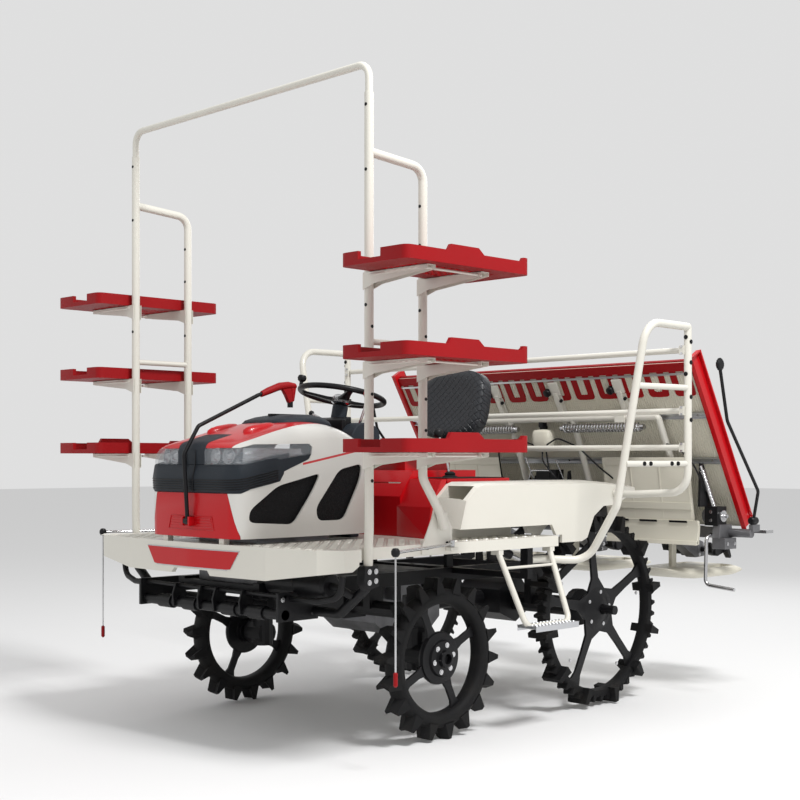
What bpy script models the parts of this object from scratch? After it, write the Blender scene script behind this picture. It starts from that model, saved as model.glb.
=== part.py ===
"""Riding rice transplanter, six rows, with nursery racks and a raised planting unit.

Metres, +Z up. The machine faces -Y and its left side is +X. Stations along the machine are
measured from the front rack posts: station 0 is the posts, positive is rearward. One empty
carries everything and puts the middle of the overall length at the world origin.
"""
import math

import bmesh
import bpy
from mathutils import Matrix, Vector

# ---------------------------------------------------------------- driving dimensions
MIDDLE_STATION = 1.1835         # station of the world origin
GAP = 0.0003                    # clearance between pieces that touch
WHEELBASE = 1.067
FRONT_AXLE = 0.514              # station of the front wheel centres
FRONT_WHEEL_RADIUS = 0.328
FRONT_TRACK = 1.252
FRONT_TYRE_WIDTH = 0.086
REAR_WHEEL_RADIUS = 0.442
REAR_TRACK = 1.234
REAR_TYRE_WIDTH = 0.096
KINGPIN_SPREAD = 0.98           # between the two kingpin axes
AXLE_TUBE_HEIGHT = 0.50
RAIL_BOTTOM = 0.585
RAIL_TOP = 0.645
RAIL_IN = 0.225                 # inner faces of the two frame rails
RAIL_OUT = 0.265
DECK_TOP = 0.80
DECK_RIM = 0.045
DECK_HALF = 0.735
DECK_REAR = 1.15
APRON_HALF = 0.80
APRON_FRONT = -0.26
APRON_BOTTOM = 0.675
DECK_SHEET = 0.014
RACK_POST_X = 0.76
RACK_TUBE = 0.0175
REAR_UPRIGHT = 0.285            # station of the rear rack uprights
HOOP_TOP = 2.61
HOOP_JOINT = 2.487
LOOP_TOP = 2.267
SHELF_LEVELS = (1.82, 1.49, 1.155)
SHELF_INNER = 0.79
SHELF_WIDTH = 0.34
SHELF_FRONT = -0.175
SHELF_LENGTH = 0.66
SHELF_HEIGHT = 0.05
SHELF_WALL = 0.02
HOOD_BOTTOM = 0.822
HOOD_WALL = 0.010
HOOD_REAR = 0.41
SEAT_BASE_TOP = 1.08
FENDER_TOP = 1.035
WHEEL_COLUMN_TILT = 12.5        # degrees from upright
STEERING_CENTRE = (0.0, 0.56, 1.407)
STEERING_RADIUS = 0.185
GUARD_X = 1.105
GUARD_TUBE = 0.017
GUARD_REAR = 1.60
GUARD_TOP = 1.705
PLATFORM_HALF = 0.95
PLATFORM_TOP = (1.85, 1.57)     # station and height of the tray platform's top edge
PLATFORM_FOOT = (2.31, 0.79)
PLATFORM_DEPTH = 0.035
RAIL_HALF = 1.084
LINK_FRONT = (1.66, 0.50)       # lower link's front pin
LINK_REAR = (2.13, 0.77)        # lower link's rear pin at rest, raised
LINK_SPACING = 0.15             # upper link's pins above the lower link's
LINK_SPREAD = 0.24
ROW_PITCH = 0.30
ROTOR_AXIS = (2.43, 0.675)
ROTOR_REACH = 0.104             # radius that the planting claws sweep
CLAW_IN, CLAW_OUT = 0.085, 0.145  # the claws' span from the middle of their rotor
FLOAT_BOTTOM = 0.545
CYLINDER_ARM = 0.20             # lift rod's eye along the lower link, from its front pin
FLAT_SIDES = 28                 # sides of a wheel's ring
RUNNING_GAP = 0.006             # between a moving piece and what it passes
HOOD_HINGE = (-0.252, HOOD_BOTTOM)# station and height of the hood's front hinge
HANDLE_FOOT = (-0.268, 0.885)   # pivot of the front handle
SEAT_HINGE = (0.77, 1.140)      # line the seat tips about
SEAT_HINGE_TOP = 1.1425         # height of the pads the seat rests on
CROSS_RAILS = (1.605, 1.34, 1.18)# heights of the three rails behind the seat
INDICATOR_PIVOT = (0.760, 0.45, 0.7965)
CYLINDER_FOOT = (1.50, 0.72)    # lift cylinder's front pin
MARKER_PIVOT = (1.06, 2.20, 0.84)
PORTAL_TOP = (1.935, 1.33)      # bar the platform's rollers lean on
PORTAL_HALF = 0.72              # half width of the portal

FRONT_X = FRONT_TRACK / 2
REAR_X = REAR_TRACK / 2
REAR_AXLE = FRONT_AXLE + WHEELBASE
KINGPIN_X = KINGPIN_SPREAD / 2
LINK_SLOPE = math.atan2(LINK_REAR[1] - LINK_FRONT[1], LINK_REAR[0] - LINK_FRONT[0])
CYLINDER_EYE = (LINK_FRONT[0] + CYLINDER_ARM * math.cos(LINK_SLOPE), LINK_FRONT[1] + CYLINDER_ARM * math.sin(LINK_SLOPE))


# ---------------------------------------------------------------- shapes as (points, faces)
def block(x, y, z):
    """A box between two values on each axis."""
    points = [Vector((a, b, c)) for a in x for b in y for c in z]
    faces = [(0, 1, 3, 2), (4, 6, 7, 5), (0, 4, 5, 1), (2, 3, 7, 6), (0, 2, 6, 4), (1, 5, 7, 3)]
    return points, faces


def hull(points):
    """The closed convex body around some points."""
    bm = bmesh.new()
    for point in points:
        bm.verts.new(point)
    made = bmesh.ops.convex_hull(bm, input=bm.verts)
    loose = [g for g in made["geom_interior"] + made["geom_unused"] if isinstance(g, bmesh.types.BMVert)]
    bmesh.ops.delete(bm, geom=list(set(loose)), context="VERTS")
    bmesh.ops.recalc_face_normals(bm, faces=bm.faces)
    bm.verts.index_update()
    shape = [v.co.copy() for v in bm.verts], [tuple(v.index for v in f.verts) for f in bm.faces]
    bm.free()
    return shape


def prism(outline, low, high, axis):
    """A flat outline pushed out along an axis, from low to high."""
    place = {"X": lambda a, b, c: (c, a, b), "Y": lambda a, b, c: (a, c, b), "Z": lambda a, b, c: (a, b, c)}[axis]
    n = len(outline)
    points = [Vector(place(a, b, c)) for c in (low, high) for a, b in outline]
    faces = [tuple(range(n)), tuple(range(n, 2 * n))]
    faces += [(i, (i + 1) % n, n + (i + 1) % n, n + i) for i in range(n)]
    return points, faces


def loft(sections):
    """A closed body through rings of points that have the same count."""
    n = len(sections[0])
    points = [Vector(p) for ring in sections for p in ring]
    faces = [tuple(range(n)), tuple(range(len(points) - n, len(points)))]
    for k in range(len(sections) - 1):
        faces += [(k * n + i, k * n + (i + 1) % n, k * n + n + (i + 1) % n, k * n + n + i) for i in range(n)]
    return points, faces


def rounded(points, radius, steps=2):
    """A path with each inner corner replaced by an arc."""
    points = [Vector(p) for p in points]
    path = [points[0]]
    for before, corner, after in zip(points, points[1:], points[2:]):
        a, b = (before - corner).normalized(), (after - corner).normalized()
        half = a.angle(b) / 2
        if half > math.radians(89.5):
            path.append(corner)
            continue
        reach = min(radius / math.tan(half), 0.49 * (before - corner).length, 0.49 * (after - corner).length)
        bend = reach * math.tan(half)
        centre = corner + (a + b).normalized() * bend / math.sin(half)
        start, end = corner + a * reach - centre, corner + b * reach - centre
        pole, sweep = start.cross(end), start.angle(end)
        path += [centre + Matrix.Rotation(sweep * i / steps, 3, pole) @ start for i in range(steps + 1)]
    return path + [points[-1]]


def tube(points, radius, sides=6, bend=0.0, steps=2):
    """A round bar along a path, closed at its ends."""
    path = rounded(points, bend, steps) if bend else [Vector(p) for p in points]
    along = [(b - a).normalized() for a, b in zip(path, path[1:])]
    side = along[0].orthogonal().normalized()
    rings = []
    for i, point in enumerate(path):
        before, after = along[max(i - 1, 0)], along[min(i, len(along) - 1)]
        mean = (before + after).normalized()
        side = (side - mean * side.dot(mean)).normalized()
        other = mean.cross(side)
        stretch = 1 / max(mean.dot(after), 0.3)
        across = after - before
        across = across.normalized() if across.length > 1e-6 else None
        ring = []
        for k in range(sides):
            angle = 2 * math.pi * (k + 0.5) / sides
            spoke = (side * math.cos(angle) + other * math.sin(angle)) * radius
            if across:
                spoke += across * spoke.dot(across) * (stretch - 1)
            ring.append(point + spoke)
        rings.append(ring)
    return loft(rings)


def turned(profile, centre, axis, sides=24):
    """A closed profile of (radius, distance along) spun round an axis through centre."""
    axis = Vector(axis).normalized()
    down = Vector((0, 0, -1)) if abs(axis.z) < 0.9 else Vector((1, 0, 0))
    side = (down - axis * down.dot(axis)).normalized()
    other = axis.cross(side)
    centre = Vector(centre)
    n = len(profile)
    points = []
    for k in range(sides):
        angle = 2 * math.pi * (k + 0.5) / sides
        spoke = side * math.cos(angle) + other * math.sin(angle)
        points += [centre + spoke * r + axis * t for r, t in profile]
    faces = []
    for k in range(sides):
        a, b = k * n, (k + 1) % sides * n
        faces += [(a + i, a + (i + 1) % n, b + (i + 1) % n, b + i) for i in range(n)]
    return points, faces


def disc(centre, axis, radius, low, high, sides=10):
    """A solid cylinder along an axis, between two distances from centre."""
    step = Vector(axis).normalized()
    return tube([Vector(centre) + step * low, Vector(centre) + step * high], radius, sides)


def grown(outline, amount):
    """A flat outline with every edge pushed outwards by an amount."""
    n = len(outline)
    area = sum(outline[i][0] * outline[(i + 1) % n][1] - outline[(i + 1) % n][0] * outline[i][1] for i in range(n))
    turn = 1 if area > 0 else -1
    result = []
    for i in range(n):
        a, b, c = (Vector(outline[(i + k) % n]) for k in (-1, 0, 1))
        before, after = (b - a).normalized(), (c - b).normalized()
        outward = [Vector((d.y, -d.x)) * turn for d in (before, after)]
        corner = (outward[0] + outward[1]) / (1 + outward[0].dot(outward[1]))
        result.append(tuple(b + corner * amount))
    return result


def moved(shape, offset):
    points, faces = shape
    return [p + Vector(offset) for p in points], faces


def turned_about(shape, point, axis, degrees):
    """A shape rotated about a line."""
    turn = Matrix.Rotation(math.radians(degrees), 3, axis)
    point = Vector(point)
    return [point + turn @ (p - point) for p in shape[0]], shape[1]


def mirrored(shape):
    """The same shape on the other side of the machine."""
    return [Vector((-p.x, p.y, p.z)) for p in shape[0]], shape[1]


def both(*shapes):
    return list(shapes) + [mirrored(s) for s in shapes]


# ---------------------------------------------------------------- joining and cutting
def mesh_of(shape, name="shape", tidy=False):
    mesh = bpy.data.meshes.new(name)
    mesh.from_pydata([tuple(p) for p in shape[0]], [], shape[1])
    bm = bmesh.new()
    bm.from_mesh(mesh)
    bmesh.ops.remove_doubles(bm, verts=bm.verts, dist=1e-6)
    if tidy:
        bmesh.ops.dissolve_limit(bm, angle_limit=math.radians(0.1), verts=bm.verts, edges=bm.edges)
    bmesh.ops.recalc_face_normals(bm, faces=bm.faces)
    bm.to_mesh(mesh)
    bm.free()
    return mesh


def combine(shapes, operation, base):
    """One EXACT Boolean of a base shape with several others."""
    body = bpy.data.objects.new("body", mesh_of(base))
    bpy.context.scene.collection.objects.link(body)
    helpers = []
    for shape in shapes:
        helper = bpy.data.objects.new("helper", mesh_of(shape))
        bpy.context.scene.collection.objects.link(helper)
        helpers.append(helper)
        modifier = body.modifiers.new(operation.lower(), "BOOLEAN")
        modifier.operation = operation
        modifier.solver = "EXACT"
        modifier.object = helper
    bpy.context.view_layer.update()
    result = bpy.data.meshes.new_from_object(body.evaluated_get(bpy.context.evaluated_depsgraph_get()))
    shape = [v.co.copy() for v in result.vertices], [tuple(p.vertices) for p in result.polygons]
    for helper in helpers + [body]:
        bpy.data.objects.remove(helper)
    return shape


def fuse(*shapes):
    return combine(shapes[1:], "UNION", shapes[0]) if len(shapes) > 1 else shapes[0]


def cut(shape, *cutters):
    return combine(cutters, "DIFFERENCE", shape)


def common(shape, region):
    return combine([region], "INTERSECT", shape)


# ---------------------------------------------------------------- materials and objects
COLOURS = {
    "cream_paint": ((0.80, 0.77, 0.70), 0.35, 0.0),
    "red_paint": ((0.72, 0.01, 0.02), 0.3, 0.0),
    "red_plastic": ((0.66, 0.01, 0.02), 0.45, 0.0),
    "cream_plastic": ((0.78, 0.76, 0.66), 0.5, 0.0),
    "grey_plastic": ((0.035, 0.045, 0.055), 0.5, 0.0),
    "black_paint": ((0.02, 0.02, 0.022), 0.45, 0.0),
    "black_rubber": ((0.015, 0.015, 0.015), 0.8, 0.0),
    "black_vinyl": ((0.02, 0.02, 0.022), 0.55, 0.0),
    "cast_metal": ((0.20, 0.20, 0.21), 0.5, 0.7),
    "plated_steel": ((0.62, 0.62, 0.62), 0.25, 1.0),
    "clear_lens": ((0.75, 0.78, 0.80), 0.1, 0.4),
}


def material(name):
    found = bpy.data.materials.get(name)
    if found:
        return found
    colour, roughness, metallic = COLOURS[name]
    made = bpy.data.materials.new(name)
    made.use_nodes = True
    shader = made.node_tree.nodes["Principled BSDF"]
    shader.inputs["Base Color"].default_value = (*colour, 1)
    shader.inputs["Roughness"].default_value = roughness
    shader.inputs["Metallic"].default_value = metallic
    return made


def piece(name, shape, finish, pivot=(0, 0, 0)):
    """A named sub-part, its origin on its pivot, carried by the machine's empty."""
    pivot = Vector(pivot)
    mesh = mesh_of(([p - pivot for p in shape[0]], shape[1]), name, tidy=True)
    mesh.materials.append(material(finish))
    body = bpy.data.objects.new(name, mesh)
    bpy.context.scene.collection.objects.link(body)
    body.parent = MACHINE
    body.location = pivot
    return body


def sides():
    """The two sides of the machine: name and sign of X."""
    return (("left", 1), ("right", -1))


def on_side(shape, sign):
    return shape if sign > 0 else mirrored(shape)


# ---------------------------------------------------------------- chassis
def chassis():
    rear_plate = prism([(1.56, 0.60), (1.66, 0.60), (1.70, 0.52), (1.69, 0.47), (1.64, 0.47), (1.60, 0.585)],
                       LINK_SPREAD - 0.015, LINK_SPREAD + 0.010, "X")
    rail = block((RAIL_IN, RAIL_OUT), (-0.12, 1.60), (RAIL_BOTTOM, RAIL_TOP))
    tail = block((RAIL_IN, LINK_SPREAD + 0.010), (1.50, 1.64), (RAIL_BOTTOM, RAIL_TOP))
    ear = prism([(1.48, 0.63), (1.525, 0.63), (1.515, 0.735), (1.485, 0.735)], 0.0295, 0.042, "X")
    ear_pin = disc((0, *CYLINDER_FOOT), (1, 0, 0), 0.0080, -0.038, 0.038, 16)
    post = block((RAIL_IN + 0.01, RAIL_OUT - 0.01), (0.08, 0.12), (RAIL_TOP - 0.01, DECK_TOP - DECK_SHEET - GAP))
    posts = [moved(post, (0, d, 0)) for d in (0.0, 0.88)]
    outrigger = block((-0.70, 0.70), (0.985, 1.02), (0.62, RAIL_TOP))
    out_post = block((0.66, 0.70), (0.985, 1.02), (0.63, DECK_TOP - DECK_SHEET - GAP))
    crosses = [block((-RAIL_OUT, RAIL_OUT), span, (RAIL_BOTTOM + 0.01, RAIL_TOP - 0.01))
               for span in ((-0.12, -0.08), (1.10, 1.14), (1.48, 1.52))]
    pins = [tube([(LINK_SPREAD + 0.04, y, z), (LINK_SPREAD - 0.015, y, z)], 0.011, 6)
            for y, z in (LINK_FRONT, (LINK_FRONT[0], LINK_FRONT[1] + LINK_SPACING))]
    top_lug = prism([(1.60, 0.60), (1.68, 0.63), (1.68, 0.67), (1.60, 0.67)],
                    LINK_SPREAD - 0.015, LINK_SPREAD + 0.010, "X")
    piece("chassis_frame", fuse(*both(rail, tail, *posts, out_post, rear_plate, top_lug, *pins, ear), *crosses,
                                outrigger, ear_pin), "black_paint")
    lug = block((0.16, RAIL_OUT), (0.66, 0.72), (0.52, RAIL_BOTTOM - GAP))
    lugs = [lug, moved(lug, (0, 0.22, 0))]
    case = prism([(0.60, 0.42), (0.66, 0.37), (0.94, 0.37), (1.0, 0.42), (1.0, 0.58), (0.93, 0.64), (0.66, 0.64),
                  (0.60, 0.58)], -0.17, 0.17, "X")
    pulley = disc((0.17, 0.80, 0.52), (1, 0, 0), 0.07, -0.01, 0.035, 12)
    piece("transmission_case", fuse(case, pulley, *both(*lugs)), "cast_metal")
    feet = both(block((0.17, RAIL_OUT), (0.0, 0.05), (RAIL_TOP + GAP, 0.68)),
                block((0.17, RAIL_OUT), (0.24, 0.29), (RAIL_TOP + GAP, 0.68)))
    piece("engine_block", fuse(block((-0.19, 0.19), (-0.07, 0.31), (0.60, 0.985)), *feet), "cast_metal")
    saddle = block((RAIL_IN, RAIL_OUT), (FRONT_AXLE - 0.04, FRONT_AXLE + 0.04), (AXLE_TUBE_HEIGHT, RAIL_BOTTOM - GAP))
    axle_tube = tube([(-KINGPIN_X, FRONT_AXLE, AXLE_TUBE_HEIGHT), (KINGPIN_X, FRONT_AXLE, AXLE_TUBE_HEIGHT)], 0.034, 10)
    head = disc((KINGPIN_X, FRONT_AXLE, 0), (0, 0, 1), 0.052, 0.445, 0.57, 12)
    middle = hull([(x, FRONT_AXLE + y, z) for x in (-0.13, 0.13) for y in (-0.065, 0.065) for z in (0.45, 0.56)])
    piece("front_axle", fuse(axle_tube, middle, *both(saddle, head)), "black_paint")
    low = FRONT_WHEEL_RADIUS
    for side, sign in sides():
        upright = disc((KINGPIN_X, FRONT_AXLE, 0), (0, 0, 1), 0.045, low - 0.055, 0.445 - GAP, 12)
        flange = disc((KINGPIN_X, FRONT_AXLE, 0), (0, 0, 1), 0.058, 0.425, 0.445 - GAP, 12)
        hub_case = disc((KINGPIN_X, FRONT_AXLE, low), (1, 0, 0), 0.052, -0.03, FRONT_X - KINGPIN_X - 0.055, 12)
        stub = disc((KINGPIN_X, FRONT_AXLE, low), (1, 0, 0), 0.0188, 0.0, FRONT_X - KINGPIN_X + 0.036, 12)
        arm = prism([(FRONT_AXLE, 0.43), (FRONT_AXLE + 0.11, 0.43), (FRONT_AXLE + 0.11, 0.4445), (FRONT_AXLE, 0.4445)],
                    KINGPIN_X - 0.045, KINGPIN_X - 0.02, "X")
        piece(f"knuckle_{side}", on_side(fuse(upright, flange, hub_case, stub, arm), sign), "black_paint",
              (sign * KINGPIN_X, FRONT_AXLE, low))
    y, z = REAR_AXLE, REAR_WHEEL_RADIUS
    centre = hull([(x, y + a, z + b) for x in (-0.13, 0.13) for a, b in
                   ((-0.12, -0.05), (-0.12, 0.06), (-0.05, 0.11), (0.04, 0.11), (0.09, 0.05), (0.09, -0.05), (0, -0.10))])
    axle = disc((0, y, z), (1, 0, 0), 0.045, -0.52, 0.52, 12)
    flange = disc((0, y, z), (1, 0, 0), 0.085, 0.49, 0.525, 16)
    stub = disc((0, y, z), (1, 0, 0), 0.0208, 0.40, 0.72, 12)
    lug = block((RAIL_IN, RAIL_OUT), (y - 0.05, y + 0.0), (z, RAIL_BOTTOM - GAP))
    tunnel = tube([(0, y, 0.46), (0, 1.0 + GAP, 0.46)], 0.036, 10)
    piece("rear_axle_case", fuse(centre, axle, tunnel, *both(flange, stub, lug)), "black_paint")


def front_carrier():
    """The dark front tube that holds the rack posts, with its bumper ladder and the silencer."""
    foot = RACK_POST_X - 0.004
    main = tube([(-foot, 0, 0.735), (-foot, 0, 0.66), (-0.60, 0, 0.545), (0.60, 0, 0.545), (foot, 0, 0.66),
                 (foot, 0, 0.735)], 0.0195, 6, 0.06)
    clamp = hull([(foot + x, y, z) for x in (-0.02, 0.022) for y, z in
                  ((-0.035, 0.735), (0.03, 0.735), (0.035, 0.66), (-0.02, 0.645), (-0.04, 0.68))])
    saddle = block((RAIL_IN, RAIL_OUT), (-0.025, 0.025), (0.54, RAIL_BOTTOM - GAP))
    bar = tube([(-0.46, -0.15, 0.54), (0.46, -0.15, 0.54)], 0.021, 6)
    top_rod = tube([(-0.46, -0.15, 0.61), (0.46, -0.15, 0.61)], 0.008, 6)
    end = block((0.445, 0.46), (-0.185, 0.015), (0.515, 0.625))
    link = hull([(x, -0.15 + a, 0.575 + b) for x in (-0.004, 0.004) for a, b in
                 ((-0.03, -0.05), (0.03, -0.05), (0.035, 0.0), (0.02, 0.045), (-0.02, 0.045), (-0.035, 0.0))])
    links = [moved(link, (x, 0, 0)) for x in (-0.22, -0.05, 0.05, 0.22)]
    arm = tube([(0.45, -0.12, 0.60), (0.60, -0.11, 0.60), (0.70, -0.09, 0.62), (0.715, -0.09, 0.70)], 0.013, 6, 0.05)
    can = disc((0, -0.06, 0.655), (1, 0, 0), 0.050, 0.275, 0.62, 12)
    strap = block((RAIL_OUT + GAP, 0.30), (-0.08, 0.0), (0.545, 0.66))
    pipe = tube([(0.60, -0.06, 0.655), (0.66, -0.06, 0.65), (0.69, -0.02, 0.62)], 0.016, 6, 0.02)
    silencer = (can, strap, pipe)
    piece("front_carrier", fuse(main, bar, top_rod, *both(clamp, saddle, end, arm), *links, *silencer), "black_paint")


# ---------------------------------------------------------------- wheels
def wheel(name, side, sign, centre_x, y, radius, width, arms, first_arm, bore):
    """Rubber ring bonded to a steel rim and spider, standing on one flat of its many-sided ring."""
    reach = radius / math.cos(math.pi / FLAT_SIDES)
    seat = radius * 0.80
    rim_out, rim_in = seat, seat - 0.016
    ring = [(reach, -0.40 * width), (reach, 0.40 * width), (seat, 0.5 * width), (seat, 0.02),
            (rim_in, 0.02), (rim_in, -0.02), (seat, -0.02), (seat, -0.5 * width)]
    centre = (centre_x, y, radius)
    tyre = turned(ring, centre, (1, 0, 0), FLAT_SIDES)
    hub = turned([(0.062, -0.035), (0.062, 0.03), (bore, 0.03), (bore, -0.035)], centre, (1, 0, 0), 12)
    spokes = []
    for k in range(arms):
        arm = hull([(centre_x + a, y + b, radius + c) for a in (-0.007, 0.007) for b, c in
                    ((-0.042, 0.045), (0.042, 0.045), (-0.022, rim_out - 0.05), (0.022, rim_out - 0.05),
                     (-0.034, rim_out - 0.013), (0.034, rim_out - 0.013))])
        spokes.append(turned_about(arm, centre, "X", first_arm + 360 * k / arms))
    whole = fuse(tyre, hub, *spokes)
    piece(f"{name}_wheel_{side}", on_side(whole, sign), "black_rubber", (sign * centre_x, y, radius))


def wheels():
    for side, sign in sides():
        wheel("front", side, sign, FRONT_X, FRONT_AXLE, FRONT_WHEEL_RADIUS, FRONT_TYRE_WIDTH, 4, -65, 0.0200)
        wheel("rear", side, sign, REAR_X, REAR_AXLE, REAR_WHEEL_RADIUS, REAR_TYRE_WIDTH, 5, 8, 0.0220)


# ---------------------------------------------------------------- deck and bodywork
def deck():
    plan = [(DECK_HALF, DECK_REAR), (DECK_HALF, -0.045), (APRON_HALF, -0.075), (APRON_HALF - 0.012, -0.15),
            (0.70, -0.205), (0.45, -0.24), (0.0, APRON_FRONT)]
    plan += [(-x, y) for x, y in reversed(plan[:-1])]
    inner = [(DECK_HALF - 0.016, DECK_REAR - 0.016), (DECK_HALF - 0.016, -0.06), (APRON_HALF - 0.03, -0.09),
             (APRON_HALF - 0.03, -0.14), (0.69, -0.186), (0.44, -0.221), (0.0, APRON_FRONT + 0.019)]
    inner += [(-x, y) for x, y in reversed(inner[:-1])]
    slab = prism(plan, DECK_TOP - DECK_RIM, DECK_TOP, "Z")
    apron = common(prism(plan, APRON_BOTTOM, DECK_TOP - 0.01, "Z"), block((-1, 1), (-0.4, -0.085), (0.6, 0.9)))
    side_cut = prism([(-0.20, 0.66), (-0.05, 0.765), (0.0, 0.66)], -1, 1, "X")
    notch = prism([(-0.14, 0.66), (-0.11, 0.695), (0.11, 0.695), (0.14, 0.66)], -0.4, -0.2, "Y")
    hollow = prism(inner, 0.6, DECK_TOP - DECK_SHEET, "Z")
    engine_bay = block((-0.235, 0.235), (-0.10, 0.36), (0.7, 0.9))
    rear_bay = block((-0.60, 0.60), (1.06, 1.2), (0.7, 0.9))
    body = fuse(slab, apron)
    taper = prism([(0.45, 0.66), (0.83, 0.66), (0.83, 0.725), (0.45, APRON_BOTTOM + 0.001)], -0.4, -0.04, "Y")
    body = cut(body, hollow, side_cut, notch, engine_bay, rear_bay, *both(taper))
    ear = block((0.17, 0.20), (-0.242, -0.215), (DECK_TOP - 0.005, HOOD_BOTTOM - GAP))
    piece("deck", fuse(body, *both(ear)), "cream_paint")


def hood_section(station, half, centre, shoulder, drop=0.0):
    """Half outline of the hood at one station, from the bottom to the middle of the top."""
    outline = [(half, HOOD_BOTTOM - drop), (half + 0.004, 0.96), (half, shoulder), (half - 0.022, shoulder + 0.03),
               (half * 0.62, centre - 0.014), (0.0, centre)]
    return [(x, station, z) for x, z in outline] + [(-x, station, z) for x, z in reversed(outline[:-1])]


HOOD_STATIONS = ((-0.250, 0.232, 1.168, 1.100), (-0.238, 0.268, 1.192, 1.125), (-0.205, 0.290, 1.206, 1.145),
                 (-0.110, 0.300, 1.232, 1.165), (0.000, 0.303, 1.262, 1.190), (0.120, 0.303, 1.286, 1.215),
                 (0.240, 0.303, 1.290, 1.225), (0.330, 0.302, 1.270, 1.205), (HOOD_REAR, 0.300, 1.235, 1.165))


def hood():
    outer = loft([hood_section(y, w, c, s) for y, w, c, s in HOOD_STATIONS])
    wall = HOOD_WALL
    inside = [(y + wall if i == 0 else y, w - wall, c - wall, s - wall) for i, (y, w, c, s) in enumerate(HOOD_STATIONS)]
    inside[-1] = (HOOD_REAR + 0.05, inside[-1][1], inside[-1][2], inside[-1][3])
    inner = loft([hood_section(y, w, c, s, 0.03) for y, w, c, s in inside])
    shell = cut(outer, inner)
    band_edge = [(-0.4, 0.998), (-0.225, 0.998), (-0.10, 1.055), (0.10, 1.130), (0.115, 1.150), (-0.20, 1.108),
                 (-0.4, 1.108)]
    lamp_edge = [(-0.4, 1.1083), (-0.20, 1.1083), (0.1145, 1.1503), (0.120, 1.178), (0.105, 1.190), (-0.15, 1.186),
                 (-0.21, 1.172), (-0.4, 1.172)]
    front_edge = [(-0.29, 0.8), (0.29, 0.8), (0.232, 0.9977), (-0.232, 0.9977)]
    top_edge = [(-0.236, -0.4), (0.236, -0.4), (0.206, 0.5), (-0.206, 0.5)]

    def regions(amount):
        """Band, visor, lamp, front and top regions, each grown by an amount."""
        return (prism(grown(band_edge, amount), -1, 1, "X"),
                block((-0.088 - amount, 0.088 + amount), (-0.4, -0.115 + amount), (1.10, 1.4)),
                prism(grown(lamp_edge, amount), -1, 1, "X"),
                prism(grown(front_edge, amount), -0.4, -0.2245 + amount, "Y"),
                prism(grown(top_edge, amount), 1.16 - amount, 1.4, "Z"))

    band, visor, lamps, front, top_region = regions(0)
    wide_band, wide_visor, wide_lamps, wide_front, wide_top = regions(GAP)
    nose_edge = band_edge[:5] + lamp_edge[3:]
    wide_nose = prism(grown(nose_edge, GAP), -1, 1, "X")
    grille = common(shell, fuse(band, visor))
    lamp_shell = cut(cut(common(shell, lamps), wide_band), wide_visor)
    panel = cut(common(shell, front), wide_band)
    top = common(shell, top_region)
    for region in (wide_nose, wide_visor):
        top = cut(top, region)
    white = common(shell, block((0.05, 1), (-1, 1), (0, 2)))
    white = cut(white, wide_top)
    white = cut(white, wide_nose)
    white = cut(white, wide_front)
    window_one = [(-0.185, 0.905), (-0.185, 0.925), (-0.06, 1.020), (0.155, 1.072), (0.13, 1.02), (0.02, 0.885),
                  (-0.01, 0.874), (-0.15, 0.876)]
    window_two = [(0.140, 0.94), (0.265, 1.085), (0.385, 1.108), (0.378, 1.05), (0.285, 0.885), (0.15, 0.885)]
    windows = [prism(w, -1, 1, "X") for w in (window_one, window_two)]
    white = cut(white, *windows)
    left = block((0.05, 1), (-1, 1), (0, 2))
    hinge = (0, HOOD_HINGE[0], HOOD_HINGE[1])
    for side, sign in sides():
        piece(f"hood_side_{side}", on_side(white, sign), "cream_paint", hinge)
        piece(f"headlamp_{side}", on_side(common(lamp_shell, left), sign), "clear_lens", hinge)
    piece("grille", grille, "grey_plastic", hinge)
    lug = block((0.0163, 0.026), (HANDLE_FOOT[0] - 0.012, HOOD_STATIONS[1][0]), (HANDLE_FOOT[1] - 0.018, HANDLE_FOOT[1] + 0.018))
    piece("front_panel", fuse(panel, *both(lug)), "red_paint", hinge)
    cap = hull([(x, y, z) for y, z, w in ((0.11, 1.292, 0.15), (0.20, 1.320, 0.14), (0.30, 1.330, 0.13),
                                          (0.395, 1.312, 0.10), (0.11, 1.2875, 0.12), (0.395, 1.2905, 0.12))
                for x in (-w, w)])
    piece("hood_top", top, "red_paint", hinge)
    piece("hood_cap", cut(cap, moved(outer, (0, 0, GAP))), "grey_plastic", hinge)


def handle():
    """The bent front handle, pivoted low on the front panel, leaning back over the hood."""
    foot = (0.0, HANDLE_FOOT[0], HANDLE_FOOT[1])
    rod = tube([foot, (0, -0.285, 1.150), (0, -0.215, 1.262), (0, 0.09, 1.395), (0, 0.20, 1.425)], 0.009, 6, 0.03)
    boss = disc(foot, (1, 0, 0), 0.014, -0.016, 0.016, 10)
    grip = tube([(0, 0.12, 1.407), (0, 0.22, 1.440), (0, 0.285, 1.432)], 0.017, 6, 0.03)
    trigger = hull([(x, y, z) for x in (-0.008, 0.008) for y, z in
                    ((0.20, 1.425), (0.25, 1.425), (0.245, 1.365), (0.215, 1.355), (0.205, 1.38))])
    piece("front_handle", fuse(rod, boss, grip, trigger), "black_paint", foot)


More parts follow.
